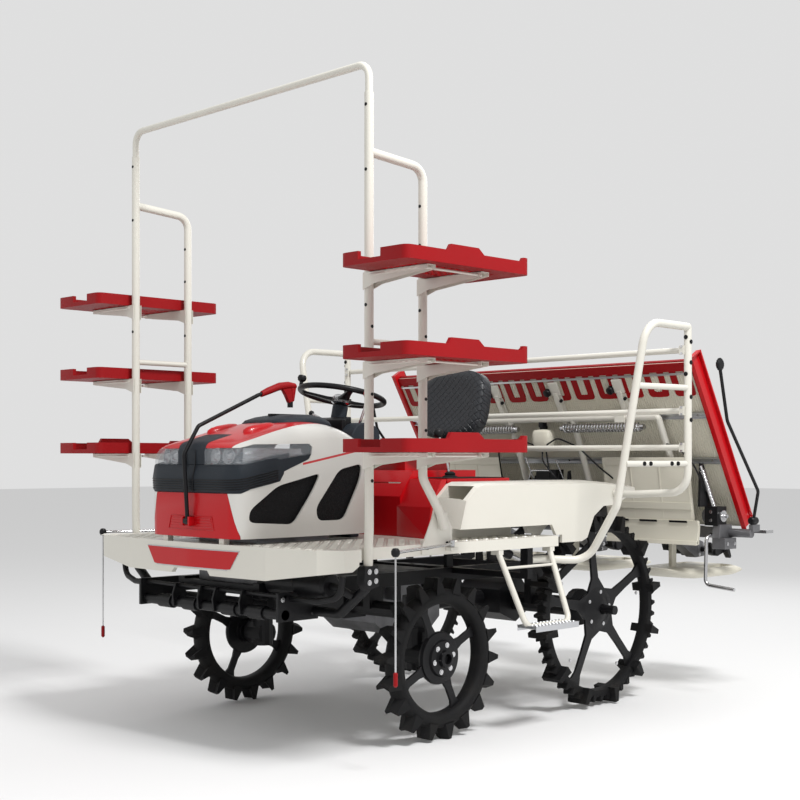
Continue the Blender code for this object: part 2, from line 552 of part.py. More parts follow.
def dash():
    side_view = [(0.425, DECK_TOP + GAP), (0.425, 1.18), (0.445, 1.25), (0.50, 1.285), (0.575, 1.27), (0.60, 1.22),
                 (0.54, 1.12), (0.475, 1.0), (0.475, DECK_TOP + GAP)]
    body = prism(side_view, -0.20, 0.20, "X")
    lean = math.radians(WHEEL_COLUMN_TILT)
    axis = Vector((0, math.sin(lean), math.cos(lean)))
    top = Vector(STEERING_CENTRE) - axis * (0.045 + GAP)
    column = tube([top - axis * 0.17, top], 0.034, 10)
    piece("dash", fuse(body, column, tube([top - axis * 0.17, top - axis * 0.11], 0.065, 10)), "grey_plastic")
    centre = Vector(STEERING_CENTRE)
    rim = []
    tilt = Matrix.Rotation(-lean, 3, "X")
    count = 18
    path = [centre + tilt @ Vector((STEERING_RADIUS * math.cos(2 * math.pi * k / count),
                                    STEERING_RADIUS * math.sin(2 * math.pi * k / count), 0)) for k in range(count)]
    rim_rings = []
    for k, point in enumerate(path):
        out = (point - centre).normalized()
        rim_rings.append([point + out * 0.013 * math.cos(a) + axis * 0.013 * math.sin(a)
                          for a in (2 * math.pi * j / 6 for j in range(6))])
    points = [p for ring in rim_rings for p in ring]
    faces = [(k * 6 + j, k * 6 + (j + 1) % 6, (k + 1) % count * 6 + (j + 1) % 6, (k + 1) % count * 6 + j)
             for k in range(count) for j in range(6)]
    hub = tube([centre - axis * 0.045, centre + axis * 0.008], 0.038, 10)
    spokes = []
    for angle in (90, 210, 330):
        out = tilt @ Vector((math.cos(math.radians(angle)), math.sin(math.radians(angle)), 0))
        across = axis.cross(out)
        spokes.append(hull([centre + out * r + across * s * w + axis * h for r, w, h0 in
                            ((0.02, 0.024, -0.03), (STEERING_RADIUS, 0.012, -0.006))
                            for s in (-1, 1) for h in (h0, h0 + 0.014)]))
    knob_at = centre + tilt @ Vector((-0.11, -0.15, 0))
    knob = fuse(tube([knob_at - axis * 0.002, knob_at + axis * 0.05], 0.008, 6),
                tube([knob_at + axis * 0.03, knob_at + axis * 0.06], 0.019, 10))
    piece("steering_wheel", fuse((points, faces), hub, *spokes, knob), "black_rubber", STEERING_CENTRE)


def seat_and_body():
    """Red seat base, the two white fenders over the rear wheels, and the seat."""
    base_side = [(0.62, DECK_TOP + GAP), (0.62, 0.97), (0.70, SEAT_BASE_TOP), (1.10, SEAT_BASE_TOP),
                 (1.10, 1.0), (1.10, DECK_TOP + GAP)]
    base = prism(base_side, -0.30, 0.30, "X")
    flare = hull([(x, y, z) for z, x0, y0, x1, y1 in ((DECK_TOP + GAP, 0.28, 0.62, 0.525, 0.555),
                                                      (0.93, 0.28, 0.62, 0.525, 0.575),
                                                      (FENDER_TOP + 0.01, 0.28, 0.68, 0.525, 0.64))
                  for x, y in ((x0, y0), (x1, y1), (x1, y1 + 0.03), (x0, y0 + 0.06))])
    top_wing = hull([(x, y, z) for x in (0.28, 0.50) for y in (0.70, 1.10) for z in (FENDER_TOP - 0.02, FENDER_TOP + 0.012)])
    hollow = block((-0.26, 0.26), (0.66, 1.2), (0.70, 1.03))
    frame = fuse(block((-0.15, 0.15), (0.80, 1.09), (SEAT_BASE_TOP - 0.01, 1.12)),
                 *both(block((0.12, 0.15), (0.80, 0.88), (1.10, SEAT_HINGE_TOP)),
                       block((0.12, 0.15), (1.02, 1.09), (1.10, SEAT_HINGE_TOP))))
    piece("seat_base", fuse(cut(base, hollow), *both(flare, top_wing), frame), "red_paint")
    for side, sign in sides():
        piece(f"fender_{side}", on_side(fender(), sign), "cream_paint")
    piece("seat_cushion", seat_cushion(), "black_vinyl", (0, SEAT_HINGE[0], SEAT_HINGE[1]))
    piece("seat_back", seat_back(), "black_vinyl", (0, SEAT_HINGE[0], SEAT_HINGE[1]))


def seat_cushion():
    low, high = SEAT_HINGE_TOP + GAP, 1.215
    rings = []
    for z, half, front, rear in ((low, 0.19, 0.80, 1.20), (low + 0.03, 0.235, 0.765, 1.235), (high, 0.225, 0.775, 1.225)):
        middle, reach = (front + rear) / 2, (rear - front) / 2
        rings.append([(half * math.copysign(abs(math.cos(a)) ** 0.5, math.cos(a)),
                       middle + reach * math.copysign(abs(math.sin(a)) ** 0.5, math.sin(a)), z)
                      for a in (2 * math.pi * (k + 0.5) / 16 for k in range(16))])
    stem = block((-0.10, 0.10), (1.20, 1.275), (1.155, 1.185))
    return fuse(loft(rings), stem)


def seat_back():
    centre = Vector((0, 1.285, 1.385))
    lean = Matrix.Rotation(math.radians(-12), 3, "X")
    rings = []
    for depth, grow in ((-0.045, 0.86), (-0.03, 1.0), (0.03, 1.0), (0.045, 0.9)):
        ring = []
        for k in range(18):
            a = 2 * math.pi * (k + 0.5) / 18
            x = 0.205 * grow * math.copysign(abs(math.cos(a)) ** 0.65, math.cos(a))
            z = 0.165 * grow * math.copysign(abs(math.sin(a)) ** 0.65, math.sin(a))
            ring.append(centre + lean @ Vector((x, depth, z)))
        rings.append(ring)
    leg = block((-0.09, 0.09), (1.26, 1.30), (1.185 + GAP, 1.25))
    return fuse(loft(rings), leg)


def fender():
    """White box panel beside the seat, sweeping back over the rear wheel as a thin shell."""
    outer = [(0.565, 0.850), (0.60, 0.97), (0.665, FENDER_TOP - 0.01), (0.70, FENDER_TOP), (1.45, FENDER_TOP),
             (1.60, FENDER_TOP - 0.01), (1.76, FENDER_TOP - 0.025), (1.76, FENDER_TOP - 0.055), (1.70, 0.965),
             (1.62, 0.93), (1.52, 0.925), (1.45, 0.88), (1.40, 0.78), (1.36, 0.765), (1.20, 0.765), (1.15, 0.85)]
    rings = []
    for x, squash in ((0.5253, 1.0), (0.62, 1.0), (0.665, 0.985), (0.70, 0.95)):
        rings.append([(x, y, 0.765 + (z - 0.765) * squash) for y, z in outer])
    body = loft(rings)
    wheel_room = disc((0, REAR_AXLE, REAR_WHEEL_RADIUS), (1, 0, 0), REAR_WHEEL_RADIUS + 0.035, 0.40, 0.685, 28)
    box_room = block((0.545, 0.68), (0.60, 1.16), (0.70, FENDER_TOP - 0.016))
    rear_room = block((0.545, 0.685), (1.14, 1.58), (0.70, FENDER_TOP - 0.016))
    shell = cut(body, wheel_room, box_room, rear_room, block((0.5, 0.8), (1.15, 1.22), (0.7, 0.80)))
    inner_wing = block((0.5253, 0.545), (0.60, 1.06), (DECK_TOP + GAP, 0.86))
    return fuse(shell, inner_wing)


# ---------------------------------------------------------------- nursery racks
def racks():
    for side, sign in sides():
        x = RACK_POST_X
        foot = x - 0.004
        post = tube([(foot, 0, 0.735 + GAP), (foot, 0, 0.80), (x, 0.0, 0.87), (x, 0, HOOP_JOINT)], RACK_TUBE, 8)
        tab = block((DECK_HALF + 0.005, 0.775), (0.43, 0.47), (0.770, INDICATOR_PIVOT[2] - 0.012 - GAP))
        loop = tube([(x, 0, LOOP_TOP), (x, REAR_UPRIGHT, LOOP_TOP - 0.02), (x, REAR_UPRIGHT, 1.055), (x, 0.375, 0.93),
                     (x, 0.405, 0.86)], RACK_TUBE, 6, 0.06)
        bar = tube([(x, 0, 1.565), (x, REAR_UPRIGHT, 1.565)], 0.012, 6)
        gusset = prism([(0.37, 0.925), (0.43, 0.925), (0.47, 0.862), (0.47, 0.762), (0.30, 0.762), (0.30, 0.79)],
                       DECK_HALF + GAP, DECK_HALF + 0.010, "X")
        lap = block((DECK_HALF + GAP, x), (0.385, 0.425), (0.86, 0.92))
        brackets = []
        for level in SHELF_LEVELS:
            top = level - GAP
            for y in (0, REAR_UPRIGHT):
                brackets.append(prism([(x - 0.004, top), (x + 0.32, top), (x + 0.32, top - 0.018), (x + 0.05, top - 0.045),
                                       (x - 0.004, top - 0.065)], y - 0.010, y + 0.010, "Y"))
        rack = fuse(post, loop, bar, gusset, lap, tab, *brackets)
        piece(f"rack_{side}", on_side(rack, sign), "cream_paint")
        for number, level in enumerate(SHELF_LEVELS, 1):
            piece(f"shelf_{side}_{number}", on_side(shelf(level), sign), "red_plastic")
    x = RACK_POST_X
    hoop = tube([(-x, 0, HOOP_JOINT + GAP), (-x, 0, HOOP_TOP - 0.015), (x, 0, HOOP_TOP - 0.015), (x, 0, HOOP_JOINT + GAP)],
                0.015, 8, 0.07, 4)
    piece("rack_hoop", hoop, "cream_paint")


def shelf(level):
    x0, x1 = SHELF_INNER, SHELF_INNER + SHELF_WIDTH
    y0, y1 = SHELF_FRONT, SHELF_FRONT + SHELF_LENGTH
    corner = 0.045
    plan = [(x0, y0 + corner), (x0 + corner, y0), (x1 - corner, y0), (x1, y0 + corner), (x1, y1 - corner),
            (x1 - corner, y1), (x0 + corner, y1), (x0, y1 - corner)]
    tray = prism(plan, level, level + SHELF_HEIGHT, "Z")
    wall = SHELF_WALL
    room = block((x0 + wall, x1 - wall), (y0 + wall + 0.02, y1 - wall - 0.02), (level + 0.012, level + 0.1))
    lip = hull([(x, y, z) for x, y, z in
                [(a, b, level + SHELF_HEIGHT - 0.01) for a in (x0 + 0.10, x1 - 0.10) for b in (y1 - 0.06, y1)]
                + [(a, b, level + SHELF_HEIGHT + 0.022) for a in (x0 + 0.12, x1 - 0.12) for b in (y1 - 0.05, y1 - 0.01)]])
    front_lip = hull([(p.x, y0 + y1 - p.y, p.z) for p in lip[0]])
    return fuse(cut(tray, room), lip, front_lip)


# ---------------------------------------------------------------- guards, steps, indicators
def guards():
    x = GUARD_X
    rear = GUARD_REAR
    front_tube = tube([(0.685, 1.02 + GAP, 0.70), (0.685, 1.10, 0.70), (0.80, 1.27, 0.69), (0.955, 1.27, 0.93),
                       (x, 1.27, GUARD_TOP), (x - 0.012, rear, GUARD_TOP), (x - 0.012, rear, 0.985),
                       (0.82, rear, 0.972), (0.70 + GAP, rear, 0.972)], GUARD_TUBE, 8, 0.09)
    low = tube([(1.0, 1.27, 1.11), (x - 0.012, rear, 1.11)], 0.013, 6)
    high = tube([(1.055, 1.27, 1.44), (x - 0.012, rear, 1.44)], 0.013, 6)
    end = x - 0.012
    rails = [tube([(-end, rear, z), (end, rear, z)], 0.013, 6) for z in CROSS_RAILS]
    piece("guard_frame", fuse(*both(front_tube, low, high), *rails), "cream_paint")


def steps():
    for side, sign in sides():
        top = DECK_TOP - DECK_RIM - GAP
        frame = tube([(0.715, 0.775, top - 0.005), (0.85, 0.80, 0.445), (0.85, 1.08, 0.445), (0.715, 1.11, top - 0.005)],
                     0.0125, 6, 0.04)
        caps = [block((0.69, DECK_HALF - 0.001), (y - 0.015, y + 0.015), (top - 0.02, top)) for y in (0.775, 1.11)]
        tread = block((0.80, 0.90), (0.81, 1.07), (0.44, 0.452))
        rung = tube([(0.755, 0.782, 0.66), (0.755, 1.10, 0.66)], 0.007, 6)
        piece(f"step_{side}", on_side(fuse(frame, tread, rung, *caps), sign), "cream_paint")


def side_indicators():
    pivot = INDICATOR_PIVOT
    for side, sign in sides():
        post = tube([(pivot[0], pivot[1], pivot[2] - 0.012), (pivot[0], pivot[1], pivot[2] + 0.014)], 0.010, 6)
        arm = tube([pivot, (0.95, -0.05, pivot[2])], 0.006, 6)
        ball = disc((0.95, -0.05, pivot[2]), (0, 0, 1), 0.016, -0.016, 0.016, 10)
        rod = tube([(0.95, -0.05, pivot[2]), (0.95, -0.05, 0.315)], 0.004, 6)
        piece(f"side_indicator_{side}", on_side(fuse(post, arm, ball, rod), sign), "plated_steel",
              (sign * pivot[0], pivot[1], pivot[2]))


# ---------------------------------------------------------------- planting unit
def planting_unit():
    lift_links()
    y, z = LINK_REAR
    pin = (0, y, z)
    # main cross beam with drive cases reaching back to the rotors
    beam = tube([(-0.80, y + 0.06, z + 0.01), (0.80, y + 0.06, z + 0.01)], 0.03, 6)
    plate = prism([(y - 0.035, z - 0.03), (y + 0.05, z - 0.03), (y + 0.08, z + 0.02), (y + 0.05, z + LINK_SPACING + 0.03),
                   (y - 0.035, z + LINK_SPACING + 0.03)], LINK_SPREAD - 0.015, LINK_SPREAD + 0.010, "X")
    cross = tube([(-PORTAL_HALF, *PORTAL_TOP), (PORTAL_HALF, *PORTAL_TOP)], 0.016, 6)
    tall = tube([(0.205, *PORTAL_TOP), (0.205, 2.11, z + LINK_SPACING), (0.205, 2.13, z)], 0.017, 6)
    drop = tube([(PORTAL_HALF - 0.01, *PORTAL_TOP), (PORTAL_HALF - 0.01, 2.045, 1.13), (PORTAL_HALF - 0.01, 2.125, 0.90),
                 (PORTAL_HALF - 0.01, 2.19, z)], 0.016, 6)
    pins = [tube([(LINK_SPREAD + 0.04, y, h), (LINK_SPREAD - 0.015, y, h)], 0.011, 6) for h in (z, z + LINK_SPACING)]
    columns = (-2 * ROW_PITCH, 0.0, 2 * ROW_PITCH)
    rollers = platform(pin)
    piece("planting_frame", fuse(beam, cross, *both(plate, tall, drop, *pins, *rail_rest(), *marker_bracket()),
                                 *[drive_case(x) for x in columns], *rollers), "cast_metal", pin)
    for number, x in enumerate(columns, 1):
        rotor(number, x)
    covers(pin)
    floats(pin)
    markers(pin)


def lift_links():
    y0, z0 = LINK_FRONT
    y1, z1 = LINK_REAR
    inner = LINK_SPREAD + 0.0125
    for name, rise in (("lower_link", 0.0), ("upper_link", LINK_SPACING)):
        a, b = Vector((0, y0, z0 + rise)), Vector((0, y1, z1 + rise))
        along = (b - a).normalized()
        up = Vector((0, -along.z, along.y))
        arms = []
        for s in (1, -1):
            arm = hull([p + up * h + Vector((s * x, 0, 0)) for p, h0 in ((a, 0.02), (b, 0.02)) for h in (-h0, h0)
                        for x in (inner, inner + 0.012)])
            ends = [disc(p + Vector((s * inner, 0, 0)), (s, 0, 0), 0.022, 0.0, 0.012, 10) for p in (a, b)]
            arm = cut(fuse(arm, *ends), *[disc(p, (1, 0, 0), 0.0122, -0.4, 0.4, 10) for p in (a, b)])
            arms.append(arm)
        middle = a + along * (CYLINDER_ARM if rise == 0 else 0.12)
        bar = tube([middle + Vector((-inner - 0.006, 0, 0)), middle + Vector((inner + 0.006, 0, 0))], 0.012, 6)
        shapes = arms + [bar]
        piece(name, fuse(*shapes), "black_paint", a)
    lift_cylinder()


def lift_cylinder():
    """The lift cylinder under the seat: barrel on the frame, rod to the lower link's bar."""
    y0, z0 = CYLINDER_FOOT
    a, b = Vector((0, y0, z0)), Vector((0, CYLINDER_EYE[0], CYLINDER_EYE[1]))
    along = (b - a).normalized()
    barrel = fuse(tube([a + along * 0.03, a + along * 0.20], 0.024, 12), tube([a, a + along * 0.04], 0.013, 8))
    barrel = cut(barrel, tube([a + along * 0.05, a + along * 0.3], 0.0105, 12))
    eye = disc(a, (1, 0, 0), 0.020, -0.027, 0.027, 10)
    piece("lift_cylinder", cut(fuse(barrel, eye), disc(a, (1, 0, 0), 0.0088, -0.03, 0.03, 16)), "black_paint", a)
    rod = tube([a + along * 0.07, b - along * 0.0265], 0.0097, 12)
    piece("lift_rod", fuse(rod, disc(b - along * 0.0265, (1, 0, 0), 0.0125, -0.012, 0.012, 6)), "plated_steel", a)


def drive_case(x):
    """Cast arm from the cross beam back to the rotor shaft, bored for that shaft."""
    y, z = LINK_REAR
    y1, z1 = ROTOR_AXIS
    body = hull([(x + w, a, b) for w in (-0.032, 0.032) for a, b in
                 ((y + 0.05, z - 0.03), (y + 0.05, z + 0.04), (y1 + 0.04, z1 + 0.03), (y1 + 0.04, z1 - 0.035),
                  (y1 - 0.05, z1 - 0.04), (y1 - 0.03, z1 + 0.05))])
    return cut(body, disc((x, y1, z1), (1, 0, 0), 0.0125, -0.1, 0.1, 16))


def case_underside(station):
    """Height of the drive case's lower edge, which the float posts reach."""
    start = (LINK_REAR[0] + 0.05, LINK_REAR[1] - 0.03)
    end = (ROTOR_AXIS[0] - 0.05, ROTOR_AXIS[1] - 0.04)
    return start[1] + (end[1] - start[1]) * (station - start[0]) / (end[0] - start[0])


def rotor(number, x):
    """Twin planting rotor: one shaft through the drive case with a cranked claw case on each end."""
    y, z = ROTOR_AXIS
    shaft = disc((x, y, z), (1, 0, 0), 0.0118, -0.125, 0.125, 16)
    shapes = [shaft]
    for s in (-1, 1):
        hub = disc((x, y, z), (s, 0, 0), 0.03, CLAW_IN, 0.13, 12)
        arm = hull([(x + s * w, y + a, z + b) for w in (0.095, 0.120) for a, b in
                    ((-0.075, -0.018), (-0.085, 0.0), (-0.075, 0.018), (0.0, 0.03), (0.075, 0.018), (0.085, 0.0),
                     (0.075, -0.018), (0.0, -0.03))])
        fork = []
        for d in (-1, 1):
            fork.append(hull([(x + s * w, y + d * a, z + d * b) for w in (0.115, CLAW_OUT) for a, b in
                              ((0.060, -0.015), (0.080, 0.01), (0.098, -0.035), (0.088, -0.045))]))
        shapes += [hub, arm, *fork]
    piece(f"rotor_{number}", fuse(*shapes), "black_paint", (x, y, z))


def covers(pin):
    for side, sign in sides():
        upper = hull([(x, y, z) for x in (0.335, 0.835) for y, z in ((2.045, 0.83), (1.995, 1.13), (2.0, 1.14), (2.01, 1.13),
                                                                     (2.062, 0.83))])
        lower = hull([(x, y, z) for x in (0.335, 0.86) for y, z in ((2.040, 0.725), (2.050, 0.815), (2.068, 0.815), (2.058, 0.725))])
        web = block((0.40, 0.44), (2.06, 2.17), (0.765, 0.80))
        web_two = block((0.755, 0.775), (2.06, 2.17), (0.765, 0.80))
        joint = block((0.36, 0.80), (2.048, 2.06), (0.80, 0.84))
        body = fuse(upper, lower, joint, web, web_two)
        body = cut(body, disc((0, LINK_REAR[0] + 0.06, LINK_REAR[1] + 0.01), (1, 0, 0), 0.03 + GAP, -1, 1, 6))
        piece(f"front_cover_{side}", on_side(body, sign), "cream_plastic", pin)


def rail_rest():
    """The bent rod that the slide rail's end rests on when the unit stands on the ground."""
    rod = tube([(0.895, 2.165, 0.78), (0.895, 2.06, 0.765), (0.895, 2.05, 0.54), (1.05, 2.05, 0.525)], 0.009, 6, 0.025)
    return rod, block((0.78, 0.90), (2.15, 2.20), (0.755, 0.805))


def marker_bracket():
    """Arm and stem that carry a line marker's pivot outboard of the tray platform."""
    x, y, z = MARKER_PIVOT
    beam = (LINK_REAR[0] + 0.06, LINK_REAR[1] + 0.01)
    base = tube([(0.78, *beam), (x, *beam)], 0.022, 6)
    stem = block((x - 0.012, x + 0.012), (beam[0] - 0.01, y + 0.04), (z - 0.052, z - 0.018 - GAP))
    return base, stem


def floats(pin):
    for name, x, half, front, rear in (("centre", 0.0, 0.20, 2.06, 2.66),
                                       ("left", 2 * ROW_PITCH, 0.19, 2.06, 2.60),
                                       ("right", -2 * ROW_PITCH, 0.19, 2.06, 2.60)):
        low = FLOAT_BOTTOM
        sections = []
        for t, rise, width in ((0.0, 0.045, 0.45), (0.12, 0.012, 0.8), (0.35, 0.0, 1.0), (0.8, 0.0, 1.0), (1.0, 0.014, 0.85)):
            y = front + (rear - front) * t
            w = half * width
            top = low + 0.055 if t < 0.9 else low + 0.04
            sections.append([(x - w, y, top - 0.01), (x - w * 0.8, y, low + rise), (x + w * 0.8, y, low + rise),
                             (x + w, y, top - 0.01), (x + w * 0.7, y, top), (x - w * 0.7, y, top)])
        body = loft(sections)
        post = prism([(2.20, low + 0.05), (2.24, low + 0.05), (2.24, case_underside(2.24) - GAP),
                      (2.20, case_underside(2.20) - GAP)], x - 0.010, x + 0.010, "X")
        reach = ROTOR_REACH + RUNNING_GAP
        slots = [block((x + s * (CLAW_IN - RUNNING_GAP), x + s * (CLAW_OUT + RUNNING_GAP)),
                       (ROTOR_AXIS[0] - reach, ROTOR_AXIS[0] + reach), (low - 0.1, low + 0.1)) for s in (-1, 1)]
        piece(f"float_{name}", fuse(cut(body, *slots), post), "cream_plastic", pin)


def platform(pin):
    """The sloping tray platform, its red side rails and the chromed slide rail it runs on."""
    (y0, z0), (y1, z1) = PLATFORM_TOP, PLATFORM_FOOT
    along = Vector((0, y1 - y0, z1 - z0)).normalized()
    out = Vector((0, -along.z, along.y))            # towards the rear and up, the tray side
    if out.y < 0:
        out.negate()
    top, foot = Vector((0, y0, z0)), Vector((0, y1, z1 + 0.0223))
    def slab(x, a, b, h):
        return hull([Vector((w, 0, 0)) + p + out * t for w in x for p in (a, b) for t in h])
    sheet = slab((-PLATFORM_HALF, PLATFORM_HALF), top, foot, (0.0, 0.012))
    lanes = [k * ROW_PITCH for k in range(-3, 4) if abs(k) * ROW_PITCH < PLATFORM_HALF - 0.01]
    ribs = [slab((x - 0.004, x + 0.004), top, foot, (0.010, PLATFORM_DEPTH)) for x in lanes]
    channels = [slab((-PLATFORM_HALF, PLATFORM_HALF), top + along * d, top + along * (d + 0.03), (-0.018, 0.002))
                for d in (0.255, 0.50)]
    rail = slab((PLATFORM_HALF - 0.002, PLATFORM_HALF + 0.022), top - along * 0.03, foot + along * 0.01,
                (-0.02, PLATFORM_DEPTH + 0.03))
    piece("tray_platform", fuse(sheet, *ribs, *channels, *both(rail)), "cream_plastic", pin)
    # slide rail under the foot of the platform, on brackets from the cross beam
    bar = block((-RAIL_HALF, RAIL_HALF), (y1 - 0.035, y1 + 0.03), (z1 - 0.012, z1 + 0.003))
    beam_y, beam_z = LINK_REAR[0] + 0.06, LINK_REAR[1] + 0.01
    arms = [block((x - 0.012, x + 0.012), (beam_y, y1 - 0.01), (z1 - 0.03, z1 - 0.006)) for x in (-0.40, -0.12, 0.12, 0.40)]
    slot = disc((0, beam_y, beam_z), (1, 0, 0), 0.03 + GAP, -1, 1, 6)
    piece("slide_rail", cut(fuse(bar, *arms), slot), "plated_steel", pin)
    # upper roller bar on the portal that the platform leans on
    reach = (Vector((0, *PORTAL_TOP)) - top).dot(along)
    touch = top + along * reach - out * 0.0186
    return [tube([(x, *PORTAL_TOP), touch + Vector((x, 0, 0))], 0.010, 6) for x in (-0.5, 0.5)]


def markers(pin):
    """Line markers: a bent arm with a spiked disc, folded up beside the platform."""
    for side, sign in sides():
        y, z = MARKER_PIVOT[1], MARKER_PIVOT[2]
        boss = disc((MARKER_PIVOT[0], y, z), (0, 1, 0), 0.018, -0.025, 0.025, 10)
        arm = tube([(MARKER_PIVOT[0], y, z), (1.115, y - 0.05, z + 0.14), (1.129, 1.86, 1.30), (1.129, 1.80, 1.55)], 0.008, 6, 0.05)
        wheel_disc = disc((1.129, 1.80, 1.55), (1, 0, 0), 0.030, -0.010, 0.010, 12)
        piece(f"line_marker_{side}", on_side(fuse(boss, arm, wheel_disc), sign), "black_paint",
              (sign * MARKER_PIVOT[0], y, z))


# ---------------------------------------------------------------- build
for old in list(bpy.data.objects):
    bpy.data.objects.remove(old)
MACHINE = bpy.data.objects.new("machine", None)
bpy.context.scene.collection.objects.link(MACHINE)
MACHINE.location = (0, -MIDDLE_STATION, 0)

chassis()
front_carrier()
wheels()
deck()
hood()
handle()
dash()
seat_and_body()
racks()
guards()
steps()
side_indicators()
planting_unit()
bpy.context.view_layer.update()
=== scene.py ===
# %% [markdown]
# # A riding rice transplanter, dressed for its picture
# The machine already exists as plain solids: frame rails, wheels, hood shell, racks and planting unit.
# This lesson gives each of them its finish and adds what the eye looks for: lugs on the wheels, tread on
# the deck, perforated shelves, stitched-looking ribs on the seat, bolts, springs, hoses and lamps.
# %% Load the frame and measure it
import math

import bmesh
import bpy
from mathutils import Matrix, Vector


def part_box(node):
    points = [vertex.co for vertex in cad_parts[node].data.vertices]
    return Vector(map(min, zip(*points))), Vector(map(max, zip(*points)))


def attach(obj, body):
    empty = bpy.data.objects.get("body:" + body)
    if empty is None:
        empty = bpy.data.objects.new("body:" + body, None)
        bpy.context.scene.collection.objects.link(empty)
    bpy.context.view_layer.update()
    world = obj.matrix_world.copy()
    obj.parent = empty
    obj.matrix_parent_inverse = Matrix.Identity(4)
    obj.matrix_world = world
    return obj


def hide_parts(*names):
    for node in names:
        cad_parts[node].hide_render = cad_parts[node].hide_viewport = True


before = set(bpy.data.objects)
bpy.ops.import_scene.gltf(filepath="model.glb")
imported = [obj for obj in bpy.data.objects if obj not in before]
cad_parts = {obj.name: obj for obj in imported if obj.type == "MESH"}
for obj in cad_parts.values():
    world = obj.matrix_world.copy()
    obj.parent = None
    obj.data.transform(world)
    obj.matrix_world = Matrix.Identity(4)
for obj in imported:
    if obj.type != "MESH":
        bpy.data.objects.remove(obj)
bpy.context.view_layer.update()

# %% [markdown]
# Places along the machine are easiest to read as stations: zero at the front rack posts, positive towards
# the rear. The hoop between the posts says where that is, so nothing here depends on a remembered number.
# %% Stations
hoop_low, hoop_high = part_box("rack_hoop")
POSTS = (hoop_low[1] + hoop_high[1]) / 2
FRONT_HUB = Vector(sum((Vector(c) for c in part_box("front_wheel_left")), Vector())) / 2
REAR_HUB = Vector(sum((Vector(c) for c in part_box("rear_wheel_left")), Vector())) / 2


def at(x, station, z):
    """A point from its distance off the middle, its station and its height."""
    return Vector((x, POSTS + station, z))


print("posts at y", round(POSTS, 4), "front hub", FRONT_HUB, "rear hub", REAR_HUB)

# %% [markdown]
# A studio shot wants a pale floor, one large soft key light, a fill from the other side and an even sky.
# The camera stands off the front left corner at chest height; a long lens keeps the racks upright, and a
# little vertical shift keeps the hoop in the frame without tilting the camera.
# %% Floor, light and camera
scene = bpy.context.scene
floor_mesh = bpy.data.meshes.new("studio_floor")
floor_mesh.from_pydata([(-40, -40, 0), (40, -40, 0), (40, 40, 0), (-40, 40, 0)], [], [(0, 1, 2, 3)])
floor = bpy.data.objects.new("studio_floor", floor_mesh)
scene.collection.objects.link(floor)
world = bpy.data.worlds.new("studio_sky")
world.use_nodes = True
world.node_tree.nodes["Background"].inputs["Color"].default_value = (1.0, 1.0, 1.0, 1)
world.node_tree.nodes["Background"].inputs["Strength"].default_value = 0.74
scene.world = world
scene.view_settings.view_transform = "Standard"


def softbox(name, place, aim, size, watts):
    """A square area light pointed at a spot on the machine."""
    lamp = bpy.data.lights.new(name, "AREA")
    lamp.shape, lamp.size, lamp.energy = "SQUARE", size, watts
    holder = bpy.data.objects.new(name, lamp)
    scene.collection.objects.link(holder)
    holder.location = place
    holder.rotation_euler = (Vector(aim) - Vector(place)).to_track_quat("-Z", "Y").to_euler()


softbox("key_light", (3.8, -1.0, 5.6), (0, -0.2, 0.9), 1.2, 300)
softbox("fill_light", (-3.5, -5.5, 3.5), (0, -0.5, 1.0), 3.5, 15)
softbox("rim_light", (-2.0, 5.0, 4.0), (0, 0.5, 1.0), 3.0, 45)
view_data = bpy.data.cameras.new("camera")
view_data.lens, view_data.sensor_width, view_data.shift_y = 60.8, 36, 0.0718
camera = bpy.data.objects.new("camera", view_data)
scene.collection.objects.link(camera)
camera.location = at(4.3801, -3.4422, 1.1366)
camera.rotation_euler = (math.radians(90), 0, math.radians(45.13))
scene.camera = camera

# %% [markdown]
# Shader maths reads best as ordinary arithmetic. `Value` wraps one socket and turns +, -, * and / into
# Math nodes, also with the number on the left. `Finish` is one material; its `node` method makes any node
# from a type, its settings and its inputs, so a whole material is a few readable lines.
# %% Values and finishes
class Value:
    """One output socket that can be used in arithmetic."""

    def __init__(self, finish, socket):
        self.finish, self.socket = finish, socket

    def maths(self, operation, *inputs):
        return self.finish.node("ShaderNodeMath", {"operation": operation}, list(inputs))

    def __add__(self, other):
        return self.maths("ADD", self, other)

    def __sub__(self, other):
        return self.maths("SUBTRACT", self, other)

    def __rsub__(self, other):
        return self.maths("SUBTRACT", other, self)

    def __mul__(self, other):
        return self.maths("MULTIPLY", self, other)

    def __truediv__(self, other):
        return self.maths("DIVIDE", self, other)

    def __rtruediv__(self, other):
        return self.maths("DIVIDE", other, self)

    __radd__, __rmul__ = __add__, __mul__

    def over(self, edge, soft=0.0006):
        """0 below an edge, 1 above it, with a narrow ramp between."""
        ramp = self.finish.node("ShaderNodeMath", {"operation": "MULTIPLY_ADD", "use_clamp": True},
                                [self, 1 / soft, 0.5 - edge / soft])
        return ramp

    def under(self, edge, soft=0.0006):
        return 1 - self.over(edge, soft)

    def size(self):
        return self.maths("ABSOLUTE", self)


